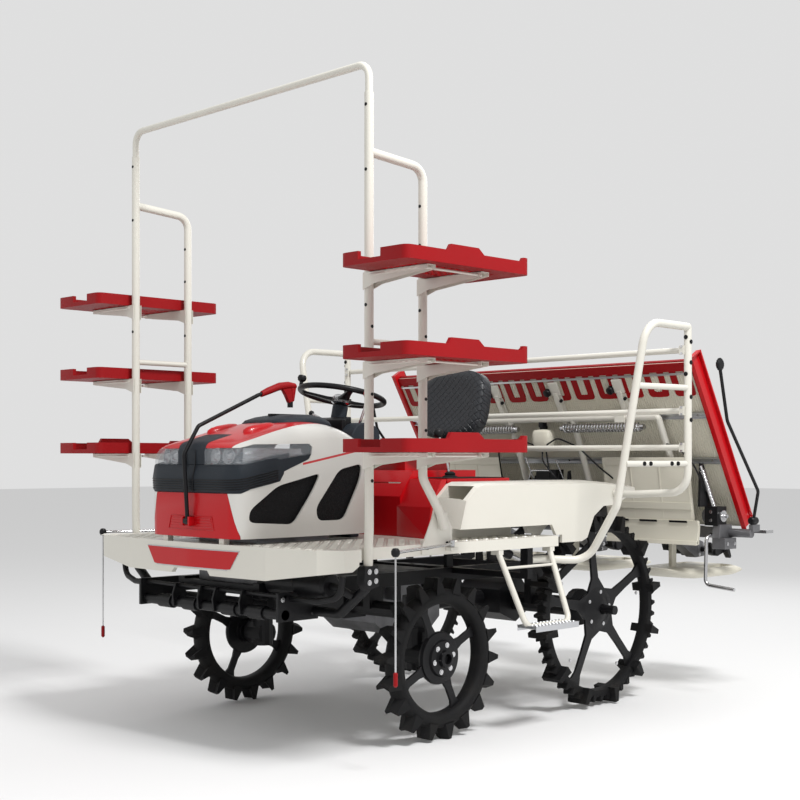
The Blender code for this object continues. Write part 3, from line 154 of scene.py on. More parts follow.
class Finish:
    """A procedural material on Object coordinates."""

    def __init__(self, name, colour, roughness, metallic=0.0):
        self.material = bpy.data.materials.new(name)
        self.material.use_nodes = True
        self.tree = self.material.node_tree
        self.shader = self.tree.nodes["Principled BSDF"]
        self.set("Base Color", (*colour, 1))
        self.set("Roughness", roughness)
        self.set("Metallic", metallic)
        self.colour, self.roughness = (*colour, 1), roughness
        self.place = self.node("ShaderNodeTexCoord", {}, [], "Object")

    def node(self, kind, settings, inputs, output=0):
        made = self.tree.nodes.new(kind)
        for key, value in settings.items():
            setattr(made, key, value)
        pairs = inputs.items() if isinstance(inputs, dict) else enumerate(inputs)
        for key, value in pairs:
            if isinstance(value, Value):
                self.tree.links.new(value.socket, made.inputs[key])
            elif value is not None:
                made.inputs[key].default_value = value
        return Value(self, made.outputs[output])

    def set(self, key, value):
        if isinstance(value, Value):
            self.tree.links.new(value.socket, self.shader.inputs[key])
        else:
            self.shader.inputs[key].default_value = value
        return self

    def noise(self, scale, detail=2.0):
        return self.node("ShaderNodeTexNoise", {}, {"Vector": self.place, "Scale": scale, "Detail": detail}, "Fac")

    def axes(self):
        parts = self.node("ShaderNodeSeparateXYZ", {}, [self.place])
        return [Value(self, socket) for socket in parts.socket.node.outputs]

    def blend(self, factor, first, second):
        return self.node("ShaderNodeMix", {"data_type": "RGBA"}, {0: factor, 6: first, 7: second}, 2)

    def bump(self, height, distance, strength=1.0):
        self.set("Normal", self.node("ShaderNodeBump", {}, {"Strength": strength, "Distance": distance,
                                                             "Height": height}))
        return self

    def speckled(self, scale, dark=0.85, spread=0.12, grain=0.0002, grain_scale=400.0):
        """Slow drift of colour and roughness, with a fine grain in the surface."""
        drift = self.noise(scale, 4.0)
        shade = tuple(c * dark for c in self.colour[:3]) + (1,)
        self.set("Base Color", self.blend(drift.over(0.5, 0.6), self.colour, shade))
        self.set("Roughness", self.roughness + (drift - 0.5) * spread)
        return self.bump(self.noise(grain_scale, 3.0), grain)


# %% [markdown]
# Sprayed sheet metal: an even colour under a clear coat, with the faint orange peel of a spray gun. Dust
# settles slowly, so the drift in colour is weak and wide. Plastic has no coat and a finer, duller grain.
# %% Paint and plastic
def paint(name, colour, roughness=0.32, coat=0.5):
    made = Finish(name, colour, roughness).speckled(2.2, 0.93, 0.10, 0.0004, 160.0)
    made.set("Coat Weight", coat).set("Coat Roughness", 0.12)
    return made


cream = paint("cream_paint", (0.69, 0.67, 0.60), 0.36, 0.35)
red = paint("red_paint", (0.50, 0.002, 0.006), 0.34, 0.35)
black = paint("black_paint", (0.005, 0.005, 0.006), 0.46, 0.08)
red_plastic = Finish("red_plastic", (0.30, 0.0015, 0.004), 0.48).speckled(5, 0.85, 0.15, 0.0005, 700)
cream_plastic = Finish("cream_plastic", (0.66, 0.63, 0.53), 0.5).speckled(3, 0.9, 0.12, 0.0004, 500)
grey_plastic = Finish("grey_plastic", (0.020, 0.026, 0.034), 0.5).speckled(4, 0.8, 0.15, 0.0008, 900)
print("paints and plastics made")

# %% [markdown]
# Rubber is nearly black and very rough, paler where dust holds in a blotchy layer. Cast iron is grey and
# grainy, plated steel is a mirror with a little haze, and drawn aluminium has long streaks from drawing.
# %% Rubber, metals, vinyl and glass
rubber = Finish("lug_rubber", (0.005, 0.005, 0.0055), 0.8)
dust = rubber.noise(9, 6).over(0.62, 0.25) * 0.12
rubber.set("Base Color", rubber.blend(dust, rubber.colour, (0.075, 0.065, 0.05, 1)))
rubber.set("Roughness", 0.66 + dust * 0.5).bump(rubber.noise(260, 4), 0.0012)
vinyl = Finish("seat_vinyl", (0.017, 0.019, 0.022), 0.42).speckled(6, 0.7, 0.18, 0.0, 10)
grain = vinyl.node("ShaderNodeTexVoronoi", {"feature": "DISTANCE_TO_EDGE"}, {"Vector": vinyl.place, "Scale": 420.0})
vinyl.bump(grain.over(0.1, 0.3), 0.0005, 0.6)
iron = Finish("cast_iron_grey", (0.24, 0.24, 0.25), 0.5, 0.75).speckled(12, 0.55, 0.2, 0.0012, 220)
steel = Finish("plated_steel", (0.66, 0.66, 0.67), 0.2, 1.0).speckled(20, 0.8, 0.12, 0.0001, 500)
aluminium = Finish("drawn_aluminium", (0.62, 0.63, 0.65), 0.35, 1.0)
streak = aluminium.node("ShaderNodeMapping", {}, {"Vector": aluminium.place, "Scale": (4, 260, 260)})
lines = aluminium.node("ShaderNodeTexNoise", {}, {"Vector": streak, "Scale": 1.0, "Detail": 2.0}, "Fac")
aluminium.set("Roughness", 0.26 + lines * 0.2).bump(lines, 0.0002)
lens = Finish("lamp_lens", (0.42, 0.46, 0.50), 0.06, 0.0).speckled(30, 0.8, 0.05, 0.0002, 90)
lens.set("Coat Weight", 1.0).set("Coat Roughness", 0.03).set("Alpha", 0.22)
mesh_black = Finish("black_gauze", (0.006, 0.006, 0.007), 0.6)
weave = mesh_black.node("ShaderNodeTexVoronoi", {"feature": "F1"}, {"Vector": mesh_black.place, "Scale": 260.0})
mesh_black.set("Roughness", 0.45 + weave.over(0.4, 0.2) * 0.3).bump(weave, 0.002)
DULL = 0.22            # specular level of the deep colours, which the lights would wash out
for finish in (red, black, red_plastic, grey_plastic, rubber, mesh_black):
    finish.set("Specular IOR Level", DULL)

# %% [markdown]
# Every solid that stays as it is gets its finish here, named after the record's slot. The lists follow
# what the part is made of: welded and painted frames, castings, moulded covers, bright rods.
# %% Finishes on the solids
ON_NODES = {
    cream: ("deck", "fender_left", "fender_right"),
    red: ("seat_base",),
    black: ("chassis_frame", "front_axle", "rear_axle_case", "front_carrier", "knuckle_left", "knuckle_right",
            "lower_link", "upper_link", "lift_cylinder", "rotor_1", "rotor_2", "rotor_3"),
    grey_plastic: ("dash",),
    iron: ("transmission_case", "engine_block", "planting_frame"),
    cream_plastic: ("front_cover_left", "front_cover_right", "float_centre", "float_left", "float_right",
                    "tray_platform"),
    steel: ("slide_rail", "lift_rod"),
}
for finish, nodes in ON_NODES.items():
    for node in nodes:
        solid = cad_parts[node]
        for slot in solid.material_slots:
            slot.material = finish.material
print("solids finished:", sum(len(nodes) for nodes in ON_NODES.values()))

# %% [markdown]
# New pieces are drawn with one small pen that collects closed shapes: plates pushed out of an outline,
# pipes along a bent path, turned rings and soft-edged blocks. `Pen.piece` welds them into one mesh object,
# turns the faces outwards, rounds the edges with a Bevel and says which body carries it.
# %% The pen
def finish_piece(thing, body, replaced=()):
    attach(thing, body)
    if replaced:
        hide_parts(*replaced)
    return thing


def squared(wave, power):
    """A sine or cosine bent towards a corner, for superellipses."""
    return math.copysign(abs(wave) ** power, wave)


def bent(points, radius, steps=6):
    """A path with its inner corners turned into arcs."""
    points = [Vector(p) for p in points]
    path = [points[0]]
    for before, corner, after in zip(points, points[1:], points[2:]):
        a, b = (before - corner).normalized(), (after - corner).normalized()
        half = a.angle(b) / 2
        if half > math.radians(89):
            path.append(corner)
            continue
        reach = min(radius / math.tan(half), 0.49 * (before - corner).length, 0.49 * (after - corner).length)
        centre = corner + (a + b).normalized() * reach / math.cos(half)
        start, end = corner + a * reach - centre, corner + b * reach - centre
        pole, sweep = start.cross(end), start.angle(end)
        path += [centre + Matrix.Rotation(sweep * i / steps, 3, pole) @ start for i in range(steps + 1)]
    return path + [points[-1]]


TIP = 0.0002           # radius at which a turned shape stops, a hair's breadth from its axis


class Pen:
    """Collects closed shapes and makes them one piece."""

    def __init__(self):
        self.points, self.faces = [], []

    def add(self, points, faces):
        base = len(self.points)
        self.points += [Vector(p) for p in points]
        self.faces += [tuple(base + i for i in face) for face in faces]
        return self

    def rings(self, rings, closed=False):
        n, count = len(rings[0]), len(rings)
        faces = [] if closed else [tuple(range(n))[::-1], tuple(range(n * (count - 1), n * count))]
        for k in range(count if closed else count - 1):
            a, b = k * n, (k + 1) % count * n
            faces += [(a + i, a + (i + 1) % n, b + (i + 1) % n, b + i) for i in range(n)]
        return self.add([p for ring in rings for p in ring], faces)

    def block(self, low, high):
        outline = [(low[0], low[1]), (high[0], low[1]), (high[0], high[1]), (low[0], high[1])]
        return self.plate(outline, low[2], high[2], "Z")

    def plate(self, outline, low, high, axis):
        place = {"X": lambda a, b, c: (c, a, b), "Y": lambda a, b, c: (a, c, b), "Z": lambda a, b, c: (a, b, c)}[axis]
        return self.rings([[place(a, b, c) for a, b in outline] for c in (low, high)])

    def pipe(self, points, radius, bend=0.0, sides=14, loop=False):
        path = bent(points, bend) if bend else [Vector(p) for p in points]
        if loop:
            path = path + [path[0]]
        steps = [(b - a).normalized() for a, b in zip(path, path[1:])]
        side = steps[0].orthogonal().normalized()
        rings = []
        for i, point in enumerate(path):
            before, after = steps[max(i - 1, 0)], steps[min(i, len(steps) - 1)]
            if loop and i in (0, len(path) - 1):
                before, after = steps[-1], steps[0]
            mean = (before + after).normalized()
            side = (side - mean * side.dot(mean)).normalized()
            other = mean.cross(side)
            rings.append([point + (side * math.cos(t) + other * math.sin(t)) * radius
                          for t in (2 * math.pi * k / sides for k in range(sides))])
        return self.rings(rings[:-1], True) if loop else self.rings(rings)

    def turned(self, profile, centre, axis, sides=32):
        """A closed profile of (radius, distance along) spun round an axis."""
        axis = Vector(axis).normalized()
        side = axis.orthogonal().normalized()
        other = axis.cross(side)
        rings = []
        for k in range(sides):
            t = 2 * math.pi * k / sides
            spoke = side * math.cos(t) + other * math.sin(t)
            rings.append([Vector(centre) + spoke * r + axis * d for r, d in profile])
        return self.rings(rings, True)

    def knob(self, centre, axis, radius, low, high, sides=24, soft=0.2):
        """A solid round boss with softened rims."""
        c = (high - low) * soft * 0.5
        return self.turned([(TIP, low), (radius - c, low), (radius, low + c), (radius, high - c),
                            (radius - c, high), (TIP, high)], centre, axis, sides)

    def mirrored(self):
        """The same shapes again on the other side of the machine."""
        return self.add([(-p.x, p.y, p.z) for p in self.points], [face[::-1] for face in self.faces])

    def other_side(self):
        made = Pen()
        return made.add([(-p.x, p.y, p.z) for p in self.points], [face[::-1] for face in self.faces])

    def piece(self, name, finish, body, slot, replaced=(), bevel=0.0, smooth=35):
        mesh = bpy.data.meshes.new(name)
        mesh.from_pydata([tuple(p) for p in self.points], [], self.faces)
        bm = bmesh.new()
        bm.from_mesh(mesh)
        bmesh.ops.remove_doubles(bm, verts=bm.verts, dist=1e-6)
        bmesh.ops.recalc_face_normals(bm, faces=bm.faces)
        bm.to_mesh(mesh)
        bm.free()
        thing = bpy.data.objects.new(name, mesh)
        scene.collection.objects.link(thing)
        mesh.materials.append(finish.material)
        mesh.shade_smooth()
        mesh.set_sharp_from_angle(angle=math.radians(smooth))
        if bevel:
            edge = thing.modifiers.new("soft_edges", "BEVEL")
            edge.width, edge.segments, edge.limit_method = bevel, 2, "ANGLE"
            edge.angle_limit, edge.harden_normals = math.radians(35), True
        return finish_piece(thing, body, replaced)


# %% [markdown]
# What repeats is made by Geometry Nodes. A small builder adds the nodes and links by name; the tree always
# ends in Realize Instances and Set Material. `grown` puts the modifier on a unit shape, sets the sizes by
# socket identifier, reads the evaluated result back as a plain mesh and throws the modifier away.
# %% Trees of nodes
class Tree:
    """A Geometry Nodes group whose Geometry input is the unit shape."""

    def __init__(self, name, sizes):
        self.group = bpy.data.node_groups.new(name, "GeometryNodeTree")
        face = self.group.interface
        face.new_socket("Geometry", in_out="INPUT", socket_type="NodeSocketGeometry")
        for label, kind in sizes.items():
            face.new_socket(label, in_out="INPUT", socket_type="NodeSocket" + kind)
        face.new_socket("Material", in_out="INPUT", socket_type="NodeSocketMaterial")
        face.new_socket("Geometry", in_out="OUTPUT", socket_type="NodeSocketGeometry")
        self.source = self.group.nodes.new("NodeGroupInput")
        self.exit = self.group.nodes.new("NodeGroupOutput")

    def given(self, label):
        return self.source.outputs[label]

    def node(self, kind, settings, inputs, output=0):
        made = self.group.nodes.new(kind)
        for key, value in settings.items():
            setattr(made, key, value)
        for key, value in inputs.items():
            if isinstance(value, bpy.types.NodeSocket):
                self.group.links.new(value, made.inputs[key])
            else:
                made.inputs[key].default_value = value
        return made.outputs[output]

    def close(self, geometry):
        real = self.node("GeometryNodeRealizeInstances", {}, {"Geometry": geometry})
        done = self.node("GeometryNodeSetMaterial", {}, {"Geometry": real, "Material": self.given("Material")})
        self.group.links.new(done, self.exit.inputs[0])
        return self.group


def grown(name, group, unit, finish, body, sizes, smooth=35):
    """Runs a tree on a unit shape and keeps the result as a plain piece."""
    mesh = bpy.data.meshes.new(name + "_unit")
    mesh.from_pydata([tuple(p) for p in unit.points], [], unit.faces)
    seed = bpy.data.objects.new(name + "_unit", mesh)
    scene.collection.objects.link(seed)
    modifier = seed.modifiers.new("grow", "NODES")
    modifier.node_group = group
    keys = {item.name: item.identifier for item in group.interface.items_tree if item.in_out == "INPUT"}
    for label, value in {**sizes, "Material": finish.material}.items():
        modifier[keys[label]] = value
    bpy.context.view_layer.update()
    whole = bpy.data.meshes.new_from_object(seed.evaluated_get(bpy.context.evaluated_depsgraph_get()))
    bpy.data.objects.remove(seed)
    thing = bpy.data.objects.new(name, whole)
    scene.collection.objects.link(thing)
    whole.shade_smooth()
    whole.set_sharp_from_angle(angle=math.radians(smooth))
    print(name, len(whole.polygons), "faces")
    return finish_piece(thing, body)


# %% [markdown]
# Three trees cover most of the machine. `ring` repeats a shape round the X axis, for lugs and hub bolts.
# `row` repeats it along a step, for slats, ribs and grille bars. `field` repeats it over a flat grid and
# turns every second one a quarter round, as the buttons of tread plate are.
# %% Ring, row and field
ring = Tree("ring_round_x", {"Count": "Int", "Centre": "Vector", "Start": "Float"})
spots = ring.node("GeometryNodeMeshLine", {"mode": "OFFSET"}, {"Count": ring.given("Count"), "Offset": (0, 0, 0)})
index = ring.node("GeometryNodeInputIndex", {}, {})
turn = ring.node("ShaderNodeMath", {"operation": "DIVIDE"}, {0: 2 * math.pi, 1: ring.given("Count")})
angle = ring.node("ShaderNodeMath", {"operation": "MULTIPLY_ADD"}, {0: index, 1: turn, 2: ring.given("Start")})
spin = ring.node("ShaderNodeCombineXYZ", {}, {"X": angle})
placed = ring.node("GeometryNodeInstanceOnPoints", {},
                   {"Points": spots, "Instance": ring.given("Geometry"), "Rotation": spin})
shifted = ring.node("GeometryNodeTransform", {}, {"Geometry": placed, "Translation": ring.given("Centre")})
RING = ring.close(shifted)

row = Tree("row", {"Count": "Int", "Step": "Vector"})
spots = row.node("GeometryNodeMeshLine", {"mode": "OFFSET"},
                 {"Count": row.given("Count"), "Offset": row.given("Step")})
ROW = row.close(row.node("GeometryNodeInstanceOnPoints", {}, {"Points": spots, "Instance": row.given("Geometry")}))

field = Tree("field", {"Across": "Int", "Along": "Int", "Width": "Float", "Length": "Float", "Centre": "Vector",
                       "Clear": "Float"})
grid = field.node("GeometryNodeMeshGrid", {}, {"Size X": field.given("Width"), "Size Y": field.given("Length"),
                                               "Vertices X": field.given("Across"),
                                               "Vertices Y": field.given("Along")})
where = field.node("GeometryNodeInputPosition", {}, {})
across = field.node("ShaderNodeSeparateXYZ", {}, {0: where})
off_middle = field.node("ShaderNodeMath", {"operation": "ABSOLUTE"}, {0: across})
inside = field.node("FunctionNodeCompare", {"operation": "LESS_THAN"}, {0: off_middle, 1: field.given("Clear")})
kept = field.node("GeometryNodeDeleteGeometry", {"domain": "POINT"}, {"Geometry": grid, "Selection": inside})
index = field.node("GeometryNodeInputIndex", {}, {})
odd = field.node("ShaderNodeMath", {"operation": "MODULO"}, {0: index, 1: 2.0})
quarter = field.node("ShaderNodeMath", {"operation": "MULTIPLY_ADD"}, {0: odd, 1: math.pi / 2, 2: math.pi / 4})
spin = field.node("ShaderNodeCombineXYZ", {}, {"Z": quarter})
placed = field.node("GeometryNodeInstanceOnPoints", {},
                    {"Points": kept, "Instance": field.given("Geometry"), "Rotation": spin})
FIELD = field.close(field.node("GeometryNodeTransform", {},
                               {"Geometry": placed, "Translation": field.given("Centre")}))

# %% [markdown]
# Bolts sit anywhere and point anywhere, so their tree takes a cloud of points instead: each vertex carries
# the way its bolt faces in an attribute called aim, and a six-sided head with a washer is stood on it.
# %% Bolts
bolting = Tree("bolts", {"Radius": "Float"})
head_height = bolting.node("ShaderNodeMath", {"operation": "MULTIPLY"}, {0: bolting.given("Radius"), 1: 1.1})
head = bolting.node("GeometryNodeMeshCylinder", {},
                    {"Vertices": 6, "Radius": bolting.given("Radius"), "Depth": head_height})
wide = bolting.node("ShaderNodeMath", {"operation": "MULTIPLY"}, {0: bolting.given("Radius"), 1: 1.5})
thin = bolting.node("ShaderNodeMath", {"operation": "MULTIPLY"}, {0: bolting.given("Radius"), 1: 0.5})
washer = bolting.node("GeometryNodeMeshCylinder", {}, {"Vertices": 14, "Radius": wide, "Depth": thin})
both = bolting.group.nodes.new("GeometryNodeJoinGeometry")
bolting.group.links.new(head, both.inputs[0])
bolting.group.links.new(washer, both.inputs[0])
aim = bolting.node("GeometryNodeInputNamedAttribute", {"data_type": "FLOAT_VECTOR"}, {"Name": "aim"})
face = bolting.node("FunctionNodeAlignEulerToVector", {"axis": "Z"}, {"Vector": aim})
BOLTS = bolting.close(bolting.node("GeometryNodeInstanceOnPoints", {}, {
    "Points": bolting.given("Geometry"), "Instance": both.outputs[0], "Rotation": face}))


def bolts(name, places, radius, finish, body):
    """Bolt heads at (point, direction) pairs."""
    mesh = bpy.data.meshes.new(name + "_spots")
    mesh.from_pydata([tuple(p) for p, _ in places], [], [])
    way = mesh.attributes.new("aim", "FLOAT_VECTOR", "POINT")
    for slot_index, (_, direction) in enumerate(places):
        way.data[slot_index].vector = direction
    cloud = bpy.data.objects.new(name + "_spots", mesh)
    scene.collection.objects.link(cloud)
    modifier = cloud.modifiers.new("bolts", "NODES")
    modifier.node_group = BOLTS
    keys = {item.name: item.identifier for item in BOLTS.interface.items_tree if item.in_out == "INPUT"}
    modifier[keys["Radius"]], modifier[keys["Material"]] = radius, finish.material
    bpy.context.view_layer.update()
    whole = bpy.data.meshes.new_from_object(cloud.evaluated_get(bpy.context.evaluated_depsgraph_get()))
    bpy.data.objects.remove(cloud)
    thing = bpy.data.objects.new(name, whole)
    scene.collection.objects.link(thing)
    return finish_piece(thing, body)


# %% [markdown]
# The wheels carry the machine through mud. In front, a thick rubber ring has eighteen pointed lugs; behind,
# a thin ring carries large paddles with small lugs between. Both are bonded to a steel spider. The ring and
# the spider are turned and cut from plate, and the lugs are instances from the ring tree.
# %% Wheels
def lug(root, tip, root_long, tip_long, half, lean):
    """One tooth standing on the ring at the top of the wheel, its ridge swept forward in the middle."""
    pen = Pen()
    low, high = [], []
    for x, sweep in ((-half, 0.0), (0.0, lean), (half, 0.0)):
        low.append((x, sweep, root))
        high.append((x * 0.86, sweep, tip))
    rings = [[(x, y - root_long, z) for x, y, z in low] + [(x, y + root_long, z) for x, y, z in reversed(low)],
             [(x, y - tip_long, z) for x, y, z in high] + [(x, y + tip_long, z) for x, y, z in reversed(high)]]
    return pen.rings(rings)


def spider(pen, hub, plane, reach, hub_radius, arms, root, waist, start):
    """Flat arms that flow out of the hub and widen again at the rim."""
    for k in range(arms):
        turn = Matrix.Rotation(start + 2 * math.pi * k / arms, 3, "X")
        outline = [(-root, hub_radius * 0.3), (-root, hub_radius * 0.8), (-waist * 1.2, hub_radius * 1.35),
                   (-waist, reach * 0.6), (-waist, reach * 0.86), (-waist * 1.9, reach), (waist * 1.9, reach),
                   (waist, reach * 0.86), (waist, reach * 0.6), (waist * 1.2, hub_radius * 1.35),
                   (root, hub_radius * 0.8), (root, hub_radius * 0.3)]
        rings = [[hub + turn @ Vector((plane + d, a, b)) for a, b in outline] for d in (-0.006, 0.006)]
        pen.rings(rings)


for side, sign in (("left", 1), ("right", -1)):
    hub = Vector((sign * FRONT_HUB.x, FRONT_HUB.y, FRONT_HUB.z))
    body = f"front_wheel_{side}"
    carcass = Pen().turned([(0.274, -0.030), (0.281, -0.012), (0.281, 0.012), (0.274, 0.030), (0.255, 0.041),
                            (0.232, 0.037), (0.220, 0.020), (0.220, -0.020), (0.232, -0.037), (0.255, -0.041)],
                           hub, (1, 0, 0), 72)
    carcass.piece(f"front_ring_{side}", rubber, body, "black_rubber", (f"front_wheel_{side}",), smooth=50)
    grown(f"front_lugs_{side}", RING, lug(0.262, 0.3265, 0.026, 0.008, 0.041, 0.016 * sign), rubber, body,
          {"Count": 18, "Centre": hub, "Start": 0.1})
    steelwork = Pen()
    spider(steelwork, hub, 0.0, 0.226, 0.09, 4, 0.030, 0.017, math.radians(-65 * sign))
    steelwork.turned([(0.021, -0.034), (0.052, -0.034), (0.056, -0.012), (0.104, -0.012), (0.108, 0.0),
                      (0.104, 0.013),
                      (0.075, 0.018), (0.07, 0.03), (0.036, 0.034), (0.034, 0.052), (0.021, 0.054)]
                     if sign > 0 else
                     [(0.021, 0.034), (0.052, 0.034), (0.056, 0.012), (0.104, 0.012), (0.108, 0.0), (0.104, -0.013),
                      (0.075, -0.018), (0.07, -0.03), (0.036, -0.034), (0.034, -0.052), (0.021, -0.054)],
                     hub, (1, 0, 0), 48)
    steelwork.piece(f"front_spider_{side}", black, body, "black_paint", bevel=0.0015)
    bolts(f"front_hub_bolts_{side}", [(hub + Vector((sign * 0.031, 0.055 * math.cos(t), 0.055 * math.sin(t))),
                                       (sign, 0, 0))
                                      for t in (math.radians(60 * k + 12) for k in range(6))],
          0.0075, steel, body)

    hub = Vector((sign * REAR_HUB.x, REAR_HUB.y, REAR_HUB.z))
    body = f"rear_wheel_{side}"
    carcass = Pen().turned([(0.402, -0.024), (0.407, 0.0), (0.402, 0.024), (0.388, 0.030), (0.372, 0.026),
                            (0.366, 0.012), (0.366, -0.012), (0.372, -0.026), (0.388, -0.030)], hub, (1, 0, 0), 96)
    carcass.piece(f"rear_ring_{side}", rubber, body, "black_rubber", (f"rear_wheel_{side}",), smooth=50)
    grown(f"rear_paddles_{side}", RING, lug(0.368, 0.4405, 0.019, 0.011, 0.060, 0.0), rubber, body,
          {"Count": 12, "Centre": hub, "Start": 0.2})
    grown(f"rear_lugs_{side}", RING, lug(0.395, 0.424, 0.014, 0.006, 0.030, 0.008 * sign), rubber, body,
          {"Count": 48, "Centre": hub, "Start": 0.2 + math.pi / 48})
    steelwork = Pen()
    spider(steelwork, hub, 0.0, 0.370, 0.105, 5, 0.062, 0.020, math.radians(8 * sign))
    steelwork.turned([(0.0235, -0.034), (0.058, -0.034), (0.066, -0.01), (0.10, -0.0062), (0.10, 0.0062),
                      (0.066, 0.012),
                      (0.045, 0.03), (0.0235, 0.034)], hub, (1, 0, 0), 48)
    steelwork.piece(f"rear_spider_{side}", black, body, "black_paint", bevel=0.0015)
    places = [(hub + Vector((sign * 0.011, 0.078 * math.cos(t), 0.078 * math.sin(t))), (sign, 0, 0))
              for t in (math.radians(72 * k + 8) for k in range(5))]
    places += [(hub + Vector((sign * 0.008, 0.30 * math.cos(t), 0.30 * math.sin(t))), (sign, 0, 0))
               for t in (math.radians(90 + 72 * k) - math.radians(8) for k in range(5))]
    bolts(f"rear_hub_bolts_{side}", places, 0.006, steel, body)

# %% [markdown]
# The nursery racks are bent tube: a tall post, a lower loop behind it and tapered brackets for the shelves.
# Curves with a bevel would do as well, but the pen's `pipe` keeps every place a plain number in metres. The
# right side is the left side mirrored, so only one is drawn.
# %% Racks and hoop
def view(outline):
    """Station and height pairs as Y and Z."""
    return [(POSTS + station, z) for station, z in outline]


RACK_X, UPRIGHT = 0.76, 0.285
LEVELS = [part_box(f"shelf_left_{n}")[0][2] for n in (1, 2, 3)]
rack = Pen()
rack.pipe([at(RACK_X - 0.004, 0, 0.7353), at(RACK_X - 0.004, 0, 0.80), at(RACK_X, 0, 0.87), at(RACK_X, 0, 2.487)],
          0.0175, 0.05, 18)
rack.pipe([at(RACK_X, 0, 2.267), at(RACK_X, UPRIGHT, 2.247), at(RACK_X, UPRIGHT, 1.055), at(RACK_X, 0.375, 0.93),
           at(RACK_X, 0.405, 0.86)], 0.0175, 0.06, 18)
rack.pipe([at(RACK_X, 0, 1.565), at(RACK_X, UPRIGHT, 1.565)], 0.012)
rack.plate(view([(0.37, 0.925), (0.43, 0.925), (0.47, 0.862), (0.47, 0.762), (0.30, 0.762), (0.30, 0.79)]), 0.7353,
           0.742, "X")
rack.plate(view([(0.385, 0.92), (0.425, 0.92), (0.425, 0.86), (0.385, 0.86)]), 0.736, 0.760, "X")
rack.plate(view([(0.43, 0.7842), (0.47, 0.7842), (0.47, 0.770), (0.43, 0.770)]), 0.738, 0.775, "X")
for level in LEVELS:
    top = level - 0.0003
    for station in (0, UPRIGHT):
        outline = [(RACK_X - 0.012, top), (RACK_X + 0.32, top), (RACK_X + 0.32, top - 0.017),
                   (RACK_X + 0.05, top - 0.045),
                   (RACK_X - 0.012, top - 0.065)]
        for low, high in ((-0.0215, -0.0185), (0.0185, 0.0215)):
            rack.plate(outline, POSTS + station + low, POSTS + station + high, "Y")
        rack.block((RACK_X + 0.02, POSTS + station - 0.0215, top - 0.003),
                   (RACK_X + 0.32, POSTS + station + 0.0215, top))
    rack.pipe([at(RACK_X + 0.02, -0.02, top - 0.012), at(RACK_X + 0.30, -0.02, top - 0.012),
               at(RACK_X + 0.30, UPRIGHT + 0.02, top - 0.012), at(RACK_X + 0.02, UPRIGHT + 0.02, top - 0.012)],
              0.005, 0.03, 8)
rack.piece("rack_tubes_left", cream, "machine", "cream_paint", ("rack_left",), bevel=0.001)
rack.other_side().piece("rack_tubes_right", cream, "machine", "cream_paint", ("rack_right",), bevel=0.001)
hoop = Pen().pipe([at(-RACK_X, 0, 2.4873), at(-RACK_X, 0, 2.595), at(RACK_X, 0, 2.595), at(RACK_X, 0, 2.4873)],
                  0.0145, 0.07, 18)
hoop.piece("hoop_tube", cream, "machine", "cream_paint", ("rack_hoop",))
spots = []
for sign in (1, -1):
    for station, heights in ((0, (2.44, 2.20, 1.70, 1.62, 1.37, 1.05)),
                             (UPRIGHT, (2.10, 1.95, 1.70, 1.60, 1.36, 1.24))):
        spots += [(at(sign * RACK_X, station - 0.0165, z), (0, -1, 0)) for z in heights[:3]]
        spots += [(at(sign * (RACK_X + 0.0165), station, z), (sign, 0, 0)) for z in heights[3:]]
    spots += [(at(sign * 0.743, u, z), (sign, 0, 0)) for u, z in ((0.33, 0.785), (0.44, 0.80), (0.40, 0.89))]
bolts("rack_plugs", spots, 0.0045, black, "machine")

# %% [markdown]
# A seedling shelf is one red moulding: a low wall that dips where the posts pass, rises to lips at the
# corners, and a floor that is solid at the rim and pierced in the middle. The wall is a closed loop of small
# rectangles whose top follows a list of heights; the pierced floor is two crossed rows of bars.
# %% Shelves
def wall(pen, path, thickness, low):
    """A closed wall round a path of (x, station, top)."""
    n = len(path)
    rings = []
    for i in range(n):
        before, here, after = (Vector(path[(i + k) % n][:2]) for k in (-1, 0, 1))
        k = 1
        while (after - here).length < 1e-4:
            k += 1
            after = Vector(path[(i + k) % n][:2])
        k = 1
        while (here - before).length < 1e-4:
            k += 1
            before = Vector(path[(i - k) % n][:2])
        a, b = (here - before).normalized(), (after - here).normalized()
        inward = Vector((-a.y - b.y, a.x + b.x))
        inward = inward / max(inward.length_squared, 0.2) * 2 * thickness
        top = path[i][2]
        rings.append([at(here.x, here.y, low), at(here.x, here.y, top),
                      at(here.x + inward.x, here.y + inward.y, top), at(here.x + inward.x, here.y + inward.y, low)])
    pen.rings(rings, True)


